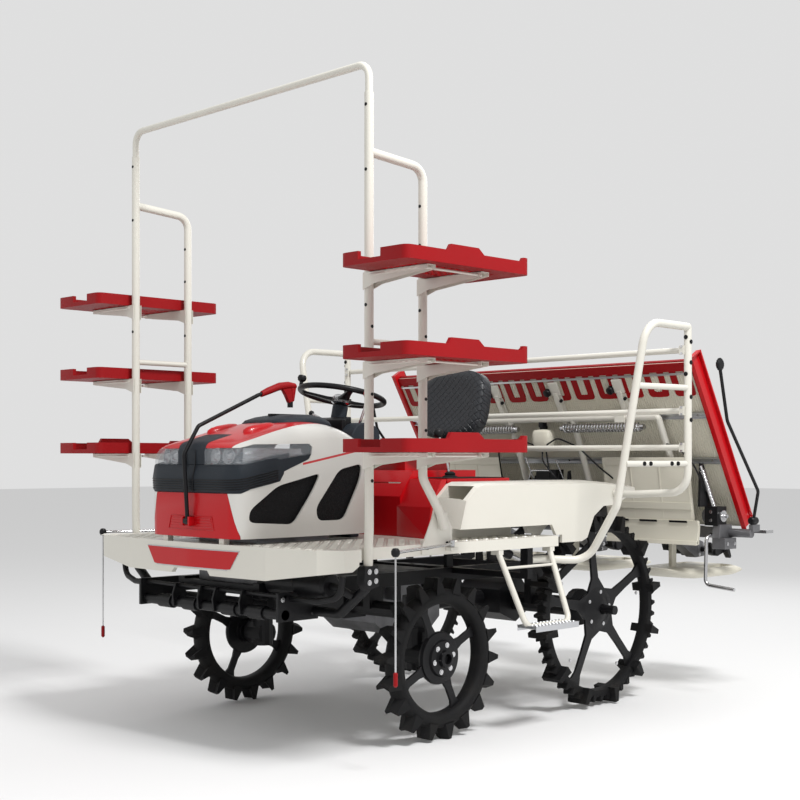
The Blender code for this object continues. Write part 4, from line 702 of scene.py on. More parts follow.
def shelf_path(level):
    x0, x1, y0, y1 = 0.79, 1.13, -0.175, 0.485
    h, low, lip = level + 0.048, level + 0.018, level + 0.071
    corner = 0.028
    path = [(x0 + corner, y0, h), (x0 + 0.096, y0, h), (x0 + 0.0965, y0, low), (x0 + 0.210, y0, low),
            (x0 + 0.2105, y0, h),
            (x1 - corner, y0, h)]
    path += [(x1 - corner + corner * math.sin(t), y0 + corner - corner * math.cos(t), h) for t in (0.5, 1.05)]
    path += [(x1, y0 + corner, h), (x1, y0 + 0.21, h), (x1, y0 + 0.225, lip), (x1, y0 + 0.37, lip),
             (x1, y0 + 0.40, h),
             (x1, y1 - 0.05, h), (x1, y1 - 0.04, lip - 0.008), (x1, y1 - corner, lip - 0.008)]
    path += [(x1 - corner + corner * math.cos(t), y1 - corner + corner * math.sin(t), lip - 0.008)
             for t in (0.5, 1.05)]
    path += [(x1 - corner, y1, lip - 0.008), (x1 - 0.06, y1, h), (x0 + 0.2105, y1, h), (x0 + 0.210, y1, low),
             (x0 + 0.0965, y1, low), (x0 + 0.096, y1, h), (x0 + corner, y1, h)]
    path += [(x0 + corner - corner * math.sin(t), y1 - corner + corner * math.cos(t), h) for t in (0.5, 1.05)]
    path += [(x0, y1 - corner, h), (x0, y0 + corner, h)]
    path += [(x0 + corner - corner * math.cos(t), y0 + corner - corner * math.sin(t), h) for t in (0.5, 1.05)]
    return path


for number, level in enumerate(LEVELS, 1):
    tray = Pen()
    wall(tray, shelf_path(level), 0.016, level)
    for low, high in (((0.80, -0.165), (0.87, 0.475)), ((1.05, -0.165), (1.12, 0.475)),
                      ((0.87, -0.165), (1.05, -0.05)),
                      ((0.87, 0.37), (1.05, 0.475))):
        tray.block(at(*low, level + 0.0005), at(*high, level + 0.010))
    for station in (-0.11, 0.42):
        tray.block(at(0.815, station - 0.006, level + 0.0095), at(1.105, station + 0.006, level + 0.017))
    tray.piece(f"shelf_tray_left_{number}", red_plastic, "machine", "red_plastic", (f"shelf_left_{number}",),
               bevel=0.002)
    tray.other_side().piece(f"shelf_tray_right_{number}", red_plastic, "machine", "red_plastic",
                            (f"shelf_right_{number}",), bevel=0.002)
    for side, start in (("left", 0.87), ("right", -1.05)):
        bar = Pen().block(at(start, -0.0535, level + 0.001), at(start + 0.18, -0.0445, level + 0.009))
        grown(f"shelf_bars_{side}_{number}", ROW, bar, red_plastic, "machine",
              {"Count": 13, "Step": (0, 0.0353, 0)})
        bar = Pen().block(at(start - 0.005, -0.05, level + 0.0015), at(start + 0.005, 0.37, level + 0.0085))
        grown(f"shelf_ribs_{side}_{number}", ROW, bar, red_plastic, "machine",
              {"Count": 7, "Step": (0.030, 0, 0)})

# %% [markdown]
# Behind the seat a tube frame keeps the operator and the trays off the planting unit. Plastic plugs close
# the spare holes in its bars. The steps hang below the deck on bent tube with a pressed bright tread.
# %% Guards and steps
guard = Pen()
end = 1.093
guard.pipe([at(0.685, 1.0203, 0.70), at(0.685, 1.10, 0.70), at(0.80, 1.27, 0.69), at(0.955, 1.27, 0.93),
            at(1.105, 1.27, 1.705),
            at(end, 1.60, 1.705)], 0.017, 0.09, 18)
guard.pipe([at(end, 1.60, 1.705), at(end, 1.60, 0.985), at(0.82, 1.60, 0.972), at(0.7003, 1.60, 0.972)], 0.017,
           0.09, 18)
guard.pipe([at(1.0, 1.27, 1.11), at(end, 1.60, 1.11)], 0.013)
guard.pipe([at(1.055, 1.27, 1.44), at(end, 1.60, 1.44)], 0.013)
for z in (1.605, 1.34, 1.18):
    guard.block(at(end - 0.03, 1.576, z - 0.02), at(end - 0.005, 1.582, z + 0.02))
guard = guard.mirrored()
for z in (1.605, 1.34, 1.18):
    guard.pipe([at(-end, 1.60, z), at(end, 1.60, z)], 0.013)
guard.piece("guard_tubes", cream, "machine", "cream_paint", ("guard_frame",))
spots = []
for sign in (1, -1):
    low, high = at(sign * 1.0, 1.27, 1.11), at(sign * end, 1.60, 1.11)
    spots += [(low.lerp(high, t) + Vector((sign * 0.0125, 0, 0)), (sign, -0.28, 0)) for t in (0.26, 0.36, 0.70, 0.80)]
    spots += [(at(sign * (end + 0.0165), 1.60, z), (sign, 0, 0)) for z in (1.64, 1.55, 1.40, 1.30)]
    spots += [(at(sign * end, 1.5835, z), (0, -1, 0)) for z in (1.66, 1.50)]
bolts("guard_plugs", spots, 0.0065, black, "machine")
bolts("guard_screws", [(at(sign * (end - 0.0175), 1.575, z + d), (0, -1, 0)) for sign in (1, -1)
                       for z in (1.605, 1.34, 1.18)
                       for d in (-0.0155, 0.0155)], 0.004, steel, "machine")
step = Pen()
step.pipe([at(0.715, 0.775, 0.7495), at(0.85, 0.80, 0.445), at(0.85, 1.08, 0.445), at(0.715, 1.11, 0.7495)], 0.0125,
          0.04, 16)
step.pipe([at(0.745, 0.782, 0.68), at(0.745, 1.102, 0.68)], 0.006)
step.block(at(0.69, 0.76, 0.7347), at(0.734, 0.79, 0.7547)).block(at(0.69, 1.095, 0.7347), at(0.734, 1.125, 0.7547))
step.piece("step_frame_left", cream, "machine", "cream_paint", ("step_left",), bevel=0.001)
step.other_side().piece("step_frame_right", cream, "machine", "cream_paint", ("step_right",), bevel=0.001)
dimple = Pen().turned([(TIP, 0.0), (0.007, 0.0), (0.005, 0.003), (TIP, 0.0035)], (0, 0, 0), (0, 0, 1), 10)
for side, sign in (("left", 1), ("right", -1)):
    low, high = sorted((sign * 0.80, sign * 0.90))
    tread = Pen().block(at(low, 0.80, 0.440), at(high, 1.08, 0.452))
    tread.block(at(low, 0.80, 0.428), at(low + 0.004, 1.08, 0.452)).block(at(high - 0.004, 0.80, 0.428),
                                                                          at(high, 1.08, 0.452))
    tread.piece(f"step_tread_{side}", aluminium, "machine", "plated_steel", bevel=0.0015)
    grown(f"step_dimples_{side}", FIELD, dimple, aluminium, "machine",
          {"Across": 4, "Along": 12, "Width": 0.07, "Length": 0.24, "Centre": at(sign * 0.85, 0.94, 0.4518),
           "Clear": 0.0})

# %% [markdown]
# The deck is pressed tread plate: short raised lozenges in two directions, left out under the hood. A red
# plate with a bright border sits on the apron, left blank. Thin rods with red tips on swing-out arms show
# the driver where the wheels will run.
# %% Deck and indicators
lozenge = Pen().rings([[Vector((x * s, y * s, z)) for x,
                        y in ((-0.014, 0), (-0.008, -0.0036), (0.008, -0.0036), (0.014, 0),
                                                               (0.008, 0.0036), (-0.008, 0.0036))]
                       for z, s in ((-0.0005, 1.0), (0.0022, 0.72))])
for name, length, middle, clear, width in (("front", 0.66, 0.12, 0.325, 1.38), ("rear", 0.56, 0.79, 0.52, 1.38)):
    grown(f"deck_tread_{name}", FIELD, lozenge, cream, "machine",
          {"Across": 47, "Along": int(length / 0.03) + 1, "Width": width, "Length": length,
           "Centre": at(0, middle, 0.80), "Clear": clear})


def apron_line(x):
    """Station of the apron's front face at a distance off the middle."""
    return -0.26 + 0.02 * min(abs(x), 0.45) / 0.45


def apron_strip(pen, outline, proud):
    """A thin plate that follows the bowed apron, from the bottom and top edges of each slice."""
    rings = []
    for x, low, high in outline:
        u = apron_line(x)
        rings.append([at(x, u + 0.001, low), at(x, u + 0.001, high), at(x, u - proud, high), at(x, u - proud, low)])
    return pen.rings(rings)


def badge(inset):
    half = 0.30 - inset * 1.4
    return [(x, max(0.705 + inset, 0.775 - inset - (half - abs(x)) * 1.35), 0.775 - inset) for x in
            (half * (2 * k / 24 - 1) * 0.999 for k in range(25))]


apron_strip(Pen(), badge(-0.004), 0.0020).piece("apron_badge_border", steel, "machine", "plated_steel")
apron_strip(Pen(), badge(0.0), 0.0032).piece("apron_badge", red, "machine", "red_paint")
for side, sign in (("left", 1), ("right", -1)):
    body = f"side_indicator_{side}"
    arm = Pen().pipe([at(sign * 0.76, 0.45, 0.7965), at(sign * 0.95, -0.05, 0.7965)], 0.006)
    arm.knob(at(sign * 0.76, 0.45, 0.7965), (0, 0, 1), 0.011, -0.012, 0.016)
    arm.pipe([at(sign * 0.95, -0.05, 0.79), at(sign * 0.95, -0.05, 0.36)], 0.0035, sides=10)
    arm.piece(f"indicator_rod_{side}", steel, body, "plated_steel", (body,))
    Pen().turned([(TIP, -0.017), (0.010, -0.015), (0.016, -0.006), (0.016, 0.006), (0.010, 0.015), (TIP, 0.017)],
                 at(sign * 0.95, -0.05, 0.7965), (0, 0, 1), 24).piece(f"indicator_ball_{side}", black, body,
                                                                      "black_paint")
    Pen().knob(at(sign * 0.95, -0.05, 0.315), (0, 0, 1), 0.008, 0.0, 0.055).piece(
        f"indicator_tip_{side}", red_plastic, body, "red_plastic")

# %% [markdown]
# The hood is one smooth moulding split into coloured parts. A fine shell is lofted through a table of
# sections, eased by a cubic between them, then cut along flat outlines with exact Booleans; each part stops
# a little short of its neighbour, which leaves the dark shut lines that such a hood shows.
# %% The hood's skin
HOOD = ((-0.250, 0.232, 1.168, 1.100), (-0.238, 0.268, 1.192, 1.125), (-0.205, 0.290, 1.206, 1.145),
        (-0.110, 0.300, 1.232, 1.165), (0.000, 0.303, 1.262, 1.190), (0.120, 0.303, 1.286, 1.215),
        (0.240, 0.303, 1.290, 1.225), (0.330, 0.302, 1.270, 1.205), (0.41, 0.300, 1.235, 1.165))
HOOD_LOW = 0.822


def eased(station):
    """Half width, crown and shoulder at a station, by cubic easing between the table's rows."""
    for i in range(len(HOOD) - 1):
        if station <= HOOD[i + 1][0] + 1e-9:
            break
    t = (station - HOOD[i][0]) / (HOOD[i + 1][0] - HOOD[i][0])
    values = []
    for column in (1, 2, 3):
        p = [HOOD[max(0, min(len(HOOD) - 1, i + k))][column] for k in (-1, 0, 1, 2)]
        x = [HOOD[max(0, min(len(HOOD) - 1, i + k))][0] for k in (-1, 0, 1, 2)]
        m1 = (p[2] - p[0]) / (x[2] - x[0]) * (x[2] - x[1])
        m2 = (p[3] - p[1]) / (x[3] - x[1]) * (x[2] - x[1])
        values.append((2 * t ** 3 - 3 * t ** 2 + 1) * p[1] + (t ** 3 - 2 * t ** 2 + t) * m1
                      + (3 * t ** 2 - 2 * t ** 3) * p[2] + (t ** 3 - t ** 2) * m2)
    return values


def hood_ring(station, inset=0.0, drop=0.0, shift=0.0):
    half, crown, shoulder = eased(station)
    half, crown, shoulder = half - inset, crown - inset, shoulder - inset
    right = [(half + 0.004 * math.sin(math.pi * k / 5),
              HOOD_LOW - drop + (shoulder - HOOD_LOW - 0.012 + drop) * k / 5)
             for k in range(6)]
    a, b, c = Vector((half, shoulder - 0.012)), Vector((half - 0.002,
                                                        shoulder + 0.040)), Vector((half * 0.64, crown - 0.013))
    right += [tuple(a * (1 - t) ** 2 + b * 2 * t * (1 - t) + c * t ** 2) for t in (k / 7 for k in range(1, 8))]
    right += [(half * 0.64 * (1 - k / 5), crown - 0.013 * (1 - k / 5) ** 2) for k in range(1, 6)]
    ring_points = right + [(-x, z) for x, z in reversed(right[:-1])]
    return [at(x, station + shift, z) for x, z in ring_points]


stations = [-0.25, -0.246, -0.241, -0.233, -0.222, -0.205, -0.18, -0.15, -0.12]
stations += [-0.12 + 0.53 * k / 26 for k in range(1, 27)]
outer = Pen().rings([hood_ring(u) for u in stations])
inner = Pen().rings([hood_ring(u, 0.008, 0.03, 0.008 if u < -0.2 else (0.03 if u > 0.40 else 0.0)) for u in stations])


def carved(base, steps):
    """A pen's shape after a list of (operation, pen) Booleans."""
    def solid(pen):
        mesh = bpy.data.meshes.new("solid")
        mesh.from_pydata([tuple(p) for p in pen.points], [], pen.faces)
        bm = bmesh.new()
        bm.from_mesh(mesh)
        bmesh.ops.remove_doubles(bm, verts=bm.verts, dist=1e-6)
        bmesh.ops.recalc_face_normals(bm, faces=bm.faces)
        bm.to_mesh(mesh)
        bm.free()
        thing = bpy.data.objects.new("solid", mesh)
        scene.collection.objects.link(thing)
        return thing
    body, helpers = solid(base), []
    for operation, pen in steps:
        helpers.append(solid(pen))
        modifier = body.modifiers.new("carve", "BOOLEAN")
        modifier.operation, modifier.solver, modifier.object = operation, "EXACT", helpers[-1]
    bpy.context.view_layer.update()
    result = bpy.data.meshes.new_from_object(body.evaluated_get(bpy.context.evaluated_depsgraph_get()))
    made = Pen().add([v.co for v in result.vertices], [tuple(f.vertices) for f in result.polygons])
    for helper in helpers + [body]:
        bpy.data.objects.remove(helper)
    return made


skin = carved(outer, [("DIFFERENCE", inner)])
print("hood skin", len(skin.faces), "faces")

# %% [markdown]
# The dividing lines are flat outlines seen from the side, the front or above: a dark band round the nose,
# the lamps above it, the red front panel and bonnet, and the white flanks with two windows each.
# %% Hood parts
SHUT = 0.0012
BAND = [(-0.4, 0.998), (-0.225, 0.998), (-0.10, 1.055), (0.10, 1.130), (0.115, 1.150), (-0.20, 1.108), (-0.4, 1.108)]
LAMP = [(-0.4, 1.109), (-0.20, 1.109), (0.1145, 1.151), (0.120, 1.178), (0.105, 1.190), (-0.15, 1.186),
        (-0.21, 1.172), (-0.4, 1.172)]
NOSE = BAND[:5] + LAMP[3:]


def spread(outline, amount):
    """A flat outline with its edges pushed outwards."""
    n = len(outline)
    area = sum(outline[i][0] * outline[(i + 1) % n][1] - outline[(i + 1) % n][0] * outline[i][1] for i in range(n))
    result = []
    for i in range(n):
        a, b, c = (Vector(outline[(i + k) % n]) for k in (-1, 0, 1))
        sides = [Vector((d.y, -d.x)) * math.copysign(1, area) for d in ((b - a).normalized(), (c - b).normalized())]
        result.append(tuple(b + (sides[0] + sides[1]) / (1 + sides[0].dot(sides[1])) * amount))
    return result


def curved_window(outline):
    """The window outline with its corners rounded."""
    n, points = len(outline), []
    for i in range(n):
        a, b, c = (Vector(outline[(i + k) % n]) for k in (-1, 0, 1))
        start, end = b.lerp(a, min(0.4, 0.03 / (a - b).length)), b.lerp(c, min(0.4, 0.03 / (c - b).length))
        points += [tuple(start * (1 - t) ** 2 + b * 2 * t * (1 - t) + end * t ** 2) for t in (0, 0.25, 0.5, 0.75, 1)]
    return points


def sideways(outline):
    return Pen().plate(view(outline), -1, 1, "X")


def centre_strip(amount):
    return Pen().block(at(-0.088 - amount, -0.4, 1.10), at(0.088 + amount, -0.115 + amount, 1.4))


def front_plate(amount):
    outline = spread([(-0.29, 0.8), (0.29, 0.8), (0.232, 0.9977), (-0.232, 0.9977)], amount)
    return Pen().plate(outline, POSTS - 0.4, POSTS - 0.2245 + amount, "Y")


def bonnet(amount):
    outline = spread([(-0.236, -0.4), (0.236, -0.4), (0.206, 0.5), (-0.206, 0.5)], amount)
    return Pen().plate([(x, POSTS + u) for x, u in outline], 1.16 - amount, 1.4, "Z")


half_space = Pen().block(at(0.05, -1, 0), at(1, 1, 2))
WINDOWS = (curved_window([(-0.195, 0.885), (-0.19, 0.935), (-0.06, 1.025), (0.165, 1.075), (0.12, 1.0),
                          (0.02, 0.872)]),
           curved_window([(0.138, 0.935), (0.265, 1.088), (0.395, 1.112), (0.385, 1.05), (0.29, 0.882),
                          (0.15, 0.882)]))
flank = carved(skin, [("INTERSECT", half_space), ("DIFFERENCE", bonnet(SHUT)),
                      ("DIFFERENCE", sideways(spread(NOSE, SHUT))),
                      ("DIFFERENCE", front_plate(SHUT)), ("DIFFERENCE", sideways(WINDOWS[0])),
                      ("DIFFERENCE", sideways(WINDOWS[1]))])
hood_white = paint("hood_white", (0.70, 0.69, 0.65), 0.30, 0.5)
x, y, z = hood_white.axes()
station = y - POSTS
line_height = z - (station * 0.18 + 1.098)
stripe = line_height.size().under(0.0045) * station.over(0.07) * x.size().over(0.27)
old_base = hood_white.shader.inputs["Base Color"].links[0].from_socket
hood_white.set("Base Color", hood_white.blend(stripe, Value(hood_white, old_base), (0.55, 0.008, 0.012, 1)))
flank.piece("hood_flank_left", hood_white, "hood", "cream_paint", ("hood_side_left",), bevel=0.0008)
flank.other_side().piece("hood_flank_right", hood_white, "hood", "cream_paint", ("hood_side_right",), bevel=0.0008)
top = carved(skin, [("INTERSECT", bonnet(0)), ("DIFFERENCE", sideways(spread(NOSE, SHUT))),
                    ("DIFFERENCE", centre_strip(SHUT))])
top.piece("hood_bonnet", red, "hood", "red_paint", ("hood_top",), bevel=0.0008)
front = carved(skin, [("INTERSECT", front_plate(0)), ("DIFFERENCE", sideways(spread(BAND, SHUT)))])
for s in (1, -1):
    low, high = sorted((s * 0.0163, s * 0.026))
    front.block(at(low, -0.280, 0.867), at(high, -0.238, 0.903))
front.piece("hood_front", red, "hood", "red_paint", ("front_panel",), bevel=0.0008)
band = carved(skin, [("INTERSECT", sideways(BAND))])
strip = carved(skin, [("INTERSECT", centre_strip(0)), ("DIFFERENCE", sideways(spread(BAND, SHUT)))])
band.add(strip.points, strip.faces)
band.piece("hood_band", grey_plastic, "hood", "grey_plastic", ("grille",), bevel=0.0008)
lamp_skin = carved(skin, [("INTERSECT", sideways(LAMP)), ("DIFFERENCE", centre_strip(SHUT)),
                          ("INTERSECT", half_space)])
lamp_skin.piece("lamp_lens_left", lens, "hood", "clear_lens", ("headlamp_left",))
lamp_skin.other_side().piece("lamp_lens_right", lens, "hood", "clear_lens", ("headlamp_right",))

# %% [markdown]
# Inside each lens are two bright bowls and a long chrome blade on a dark tray. The nose band carries a beak
# with five fine ribs below it, and black gauze backs the windows so the engine does not show.
# %% Lamps, beak and gauze
def nose_path(z, out, reach=0.10, drop=0.0):
    """Points round the nose at one height, a little outside the skin."""
    half_path = []
    nearer = (0.05, 0.0, -0.06, -0.11, -0.16, -0.19, -0.21, -0.228, -0.238, -0.246, -0.25)
    for u in [reach] + [u for u in nearer if u < reach]:
        half, _, _ = eased(u)
        fade = min(1.0, max(0.0, (reach - u) / 0.12))
        half_path.append(at(half + out * fade, u, z + drop * (u + 0.25)))
    front_edge = [at(x, -0.25 - out, z) for x in (0.19, 0.1, 0.0)]
    half_path[-1] = at(0.225, -0.25 - out * 0.8, z)
    half_path += front_edge
    return half_path + [Vector((-p.x, p.y, p.z)) for p in reversed(half_path[:-1])]


beak_rows = [nose_path(z, out, 0.0, 0.20) for z,
             out in ((1.000, -0.002), (1.003, 0.009), (1.056, 0.013), (1.064, 0.011),
                                                        (1.100, 0.0015), (1.104, -0.003))]
beak = Pen().rings([list(points) for points in zip(*beak_rows)])
beak.piece("hood_beak", grey_plastic, "hood", "grey_plastic", smooth=60)
rib_rows = Pen()
for k in range(5):
    rib_rows.pipe(nose_path(1.010 + 0.0095 * k, 0.0095 + 0.0008 * k, 0.0, 0.20)[1:-1], 0.0026, sides=8)
rib_rows.piece("beak_ribs", black, "hood", "black_paint")
# Painted shadow: two thin black lines on the beak beside the handle rod stand for the shadow the rod casts there.
rod_shadow_lines = Pen()
for x in (-0.030, 0.030):
    rod_shadow_lines.pipe([at(x, -0.264, 1.0), at(x, -0.2655, 1.058), at(x, -0.253, 1.104), at(x, -0.249, 1.165),
                  at(x, -0.236, 1.190)],
                 0.0022, sides=8)
rod_shadow_lines.piece("painted_rod_shadow", black, "hood", "black_paint")
bowls = Pen()
for x, u, aim in ((0.135, -0.232, (0, -1, 0.12)), (0.205, -0.222, (0.15, -1, 0.12))):
    bowls.turned([(0.029, 0.0), (0.031, 0.0), (0.030, -0.012), (0.018, -0.026), (TIP, -0.031), (TIP, -0.029),
                  (0.0165, -0.024), (0.0275, -0.011)], at(x, u, 1.142), aim, 32)
    bowls.knob(at(x, u + 0.022, 1.142), aim, 0.007, 0.0, 0.018, 16)
bowls.plate([(x, POSTS + u) for x, u in ((0.262, -0.195), (0.286, -0.13), (0.290, 0.0), (0.291, 0.085),
                                         (0.282, 0.085), (0.279, -0.13),
                                         (0.252, -0.19))], 1.150, 1.153, "Z")
bowls.plate([(x, POSTS + u) for x, u in ((0.258, -0.198), (0.285, -0.14), (0.288, -0.04), (0.280, -0.04),
                                         (0.276, -0.14),
                                         (0.248, -0.193))], 1.128, 1.131, "Z")
bowls = bowls.mirrored()
bowls.piece("lamp_bowls", steel, "hood", "plated_steel", smooth=60)
tray = Pen().plate([(x, POSTS + u) for x,
                    u in ((0.095, -0.185), (0.235, -0.165), (0.268, -0.12), (0.280, 0.09), (0.25, 0.09),
                                                (0.095, -0.14))], 1.113, 1.117, "Z")
tray.plate([(x, POSTS + u) for x, u in ((0.095, -0.190), (0.23, -0.172), (0.262, -0.12), (0.272, 0.09), (0.266, 0.09),
                                        (0.255, -0.115), (0.225, -0.165), (0.095, -0.183))], 1.113, 1.172, "Z")
tray = tray.mirrored()
tray.piece("lamp_trays", steel, "hood", "plated_steel")
gauze = Pen().plate(view([(-0.21, 0.86), (-0.21, 0.95), (-0.06, 1.04), (0.41, 1.125), (0.41, 0.86)]), 0.284, 0.288,
                    "X")
gauze = gauze.mirrored()
gauze.piece("window_gauze", mesh_black, "hood", "black_paint")
slots = Pen()
slots.pipe([at(-0.135, -0.2505, 0.905), at(0.135, -0.2505, 0.905), at(0.150, -0.2505, 0.852),
            at(-0.150, -0.2505, 0.852)],
           0.0022, sides=8, loop=True)
for k in range(4):
    slots.pipe([at(-0.128 - 0.003 * k, -0.2505, 0.895 - 0.0105 * k),
                at(0.128 + 0.003 * k, -0.2505, 0.895 - 0.0105 * k)], 0.0018, sides=8)
slots.piece("front_slots", red, "hood", "red_paint")
scoop = Pen().rings([[at(0.118 + a * math.cos(t), 0.0 + b * math.sin(t), z + 0.16 * b * math.sin(t))
                      for t in (math.pi * k / 12 for k in range(24))]
                     for z, a, b in ((1.235, 0.030, 0.085), (1.259, 0.028, 0.080), (1.268, 0.020, 0.062),
                                     (1.272, 0.009, 0.035))])
scoop.mirrored().piece("bonnet_scoops", red, "hood", "red_paint", smooth=60)
cap = Pen().rings([[at(w * squared(math.cos(t), 0.6),
                       m + d * squared(math.sin(t), 0.6),
                       zz - 0.10 * max(0.0, math.sin(t)) * rise
                       - 0.05 * max(0.0, -math.sin(t)) * rise)
                    for t in (2 * math.pi * k / 48 for k in range(48))]
                   for w, d, m, zz, rise in ((0.158, 0.165, 0.243, 1.270, 0.25), (0.160, 0.168, 0.243, 1.287, 0.2),
                                             (0.152, 0.156, 0.245, 1.298, 0.15), (0.128, 0.122, 0.255, 1.309, 0.08),
                                             (0.085, 0.075, 0.266, 1.3155, 0.0), (0.02, 0.02, 0.268, 1.317, 0.0))])
cap.piece("bonnet_cap", grey_plastic, "hood", "grey_plastic", ("hood_cap",), smooth=60)
Pen().block(at(-0.012, 0.15, 1.309), at(0.012, 0.37, 1.3195)).piece("cap_rib", black, "hood", "black_paint",
                                                                    bevel=0.002)
rod = Pen().pipe([at(0, -0.268, 0.885), at(0, -0.285, 1.150), at(0, -0.215, 1.262), at(0, 0.09, 1.395),
                  at(0, 0.13, 1.407)], 0.0082, 0.03)
rod.knob(at(0, -0.268, 0.885), (1, 0, 0), 0.014, -0.016, 0.016)
rod.pipe([at(0, 0.262, 1.372), at(0, 0.262, 1.348)], 0.012)
rod.piece("handle_rod", black, "front_handle", "black_paint", ("front_handle",))
grip = Pen()
grip.rings([[at(w * math.cos(t), u, zz + h * math.sin(t)) for t in (2 * math.pi * k / 20 for k in range(20))]
            for u, zz, w, h in ((0.105, 1.399, 0.012, 0.013), (0.14, 1.413, 0.015, 0.016),
                                (0.20, 1.434, 0.016, 0.017),
                                (0.25, 1.441, 0.017, 0.016), (0.285, 1.440, 0.015, 0.012),
                                (0.294, 1.437, 0.008, 0.007))])
grip.plate(view([(0.215, 1.425), (0.262, 1.432), (0.272, 1.37), (0.252, 1.366), (0.236, 1.395)]), -0.010, 0.010, "X")
grip.plate(view([(0.262, 1.43), (0.287, 1.432), (0.276, 1.375), (0.268, 1.372)]), -0.012, 0.012, "X")
grip.piece("handle_grip", red_plastic, "front_handle", "red_plastic", bevel=0.002)

# %% [markdown]
# The steering wheel is drawn in its own tilted plane: `dial` turns a place on the wheel's face into metres.
# The dash below keeps the outline of its solid, with rounded edges, a rubber boot, a dial cluster and levers.
# %% Steering wheel and dash
HUB = at(0, 0.56, 1.407)
LEAN = math.radians(12.5)
COLUMN = Vector((0, math.sin(LEAN), math.cos(LEAN)))


def dial(x, y, h):
    return HUB + Matrix.Rotation(-LEAN, 3, "X") @ Vector((x, y, 0)) + COLUMN * h


wheel = Pen()
wheel.turned([(0.185 + 0.013 * math.cos(t), 0.0125 * math.sin(t)) for t in (2 * math.pi * k / 12 for k in range(12))],
             HUB, COLUMN, 72)
for degrees in (90, 210, 330):
    out = Vector((math.cos(math.radians(degrees)), math.sin(math.radians(degrees))))
    side = Vector((-out.y, out.x))
    rings = []
    for r, w, low, high in ((0.015, 0.026, -0.028, -0.014), (0.06, 0.021, -0.026, -0.012),
                            (0.12, 0.014, -0.014, -0.003),
                            (0.182, 0.012, -0.005, 0.005)):
        p, q = out * r + side * w, out * r - side * w
        rings.append([dial(p.x, p.y, low), dial(q.x, q.y, low), dial(q.x, q.y, high), dial(p.x, p.y, high)])
    wheel.rings(rings)
wheel.turned([(TIP, -0.044), (0.030, -0.044), (0.038, -0.03), (0.040, -0.012), (0.034, -0.002), (TIP, -0.002)],
             HUB, COLUMN, 32)
wheel.turned([(TIP, 0.0), (0.008, 0.0), (0.008, 0.028), (0.017, 0.034), (0.020, 0.046), (0.016, 0.057), (TIP, 0.060)],
             dial(-0.11, -0.15, 0), COLUMN, 24)
wheel.piece("steering_rim", black, "steering_wheel", "black_rubber", ("steering_wheel",), bevel=0.002)
Pen().turned([(TIP, -0.0445), (0.024, -0.0445), (0.030, -0.042), (0.043, -0.034), (0.043, -0.0115), (0.030, 0.001),
              (TIP, 0.003)], HUB, COLUMN, 32).piece(
    "steering_cap", steel, "steering_wheel", "plated_steel")
dash = Pen().plate(view([(0.425, 0.8003), (0.425, 1.18), (0.430, 1.225), (0.445, 1.25), (0.468, 1.275), (0.50, 1.285),
                         (0.545, 1.282), (0.575, 1.27), (0.594, 1.25), (0.60, 1.22), (0.54, 1.12), (0.475, 1.0),
                         (0.475, 0.8003)]),
                   -0.20, 0.20, "X")
dash.turned([(TIP, -0.225), (0.066, -0.225), (0.064, -0.175), (0.055, -0.163), (0.058, -0.152), (0.046, -0.140),
             (0.048, -0.128), (0.034, -0.118), (0.034, -0.0455), (TIP, -0.0455)], HUB, COLUMN, 32)
dash.piece("dash_shell", grey_plastic, "machine", "grey_plastic", ("dash",), bevel=0.006)
pod = Pen()
pod.rings([[at(x, station, z) for x, station in ((-0.12, 0.452), (-0.13, 0.470), (0.13, 0.470), (0.12, 0.452))]
           for z in (1.24, 1.30)])
pod.rings([[at(x, station, z + k) for x, station, z in ((-0.125, 0.446, 1.25), (-0.125, 0.501, 1.262),
                                                        (0.125, 0.501, 1.262), (0.125, 0.446, 1.25))]
           for k in (0.0, 0.05)])
pod.piece("dash_cluster", black, "machine", "black_paint", bevel=0.006)
details = Pen()
for x, z in ((-0.16, 1.05), (-0.16, 1.12), (0.16, 1.05), (0.16, 1.12)):
    details.knob(at(x, 0.52 + (z - 1.05) * 0.55, z), (0, 1, -0.45), 0.014, -0.006, 0.012, 20)
details.piece("dash_switches", black, "machine", "black_paint")
lever = Pen().pipe([at(-0.085, 0.55, 1.27), at(-0.15, 0.56, 1.315), at(-0.21, 0.565, 1.335)], 0.005, 0.03)
lever.pipe([at(0.17, 0.50, 1.27), at(0.205, 0.50, 1.34), at(0.22, 0.505, 1.40)], 0.006, 0.03)
lever.pipe([at(0.365, 0.86, 1.03), at(0.36, 0.84, 1.16), at(0.352, 0.80, 1.235)], 0.007, 0.05)
lever.pipe([at(-0.365, 0.86, 1.03), at(-0.36, 0.84, 1.14), at(-0.352, 0.81, 1.20)], 0.007, 0.05)
lever.piece("lever_rods", steel, "machine", "plated_steel")
for name, finish, places in (("lever_knobs", black,
                              ((-0.21, 0.565, 1.335, 0.013), (0.352, 0.80, 1.242, 0.022),
                               (-0.352, 0.81, 1.208, 0.022))),
                             ("lever_knob_red", red_plastic, ((0.22, 0.505, 1.405, 0.019),))):
    knobs = Pen()
    for x, u, z, r in places:
        knobs.turned([(TIP, -r), (r * 0.72, -r * 0.72), (r, 0), (r * 0.78, r * 0.7), (TIP, r)], at(x, u, z),
                     (0, 0, 1), 24)
    knobs.piece(name, finish, "machine", "red_plastic" if finish is red_plastic else "black_paint", smooth=60)
boots = Pen()
for x in (-0.365, 0.365):
    boots.turned([(TIP, 0.0), (0.035, 0.0), (0.034, 0.006), (0.022, 0.012), (0.024, 0.020), (0.014, 0.028),
                  (TIP, 0.029)],
                 at(x, 0.862, 1.0475), (0, 0, 1), 24)
boots.piece("lever_boots", rubber, "machine", "black_rubber")

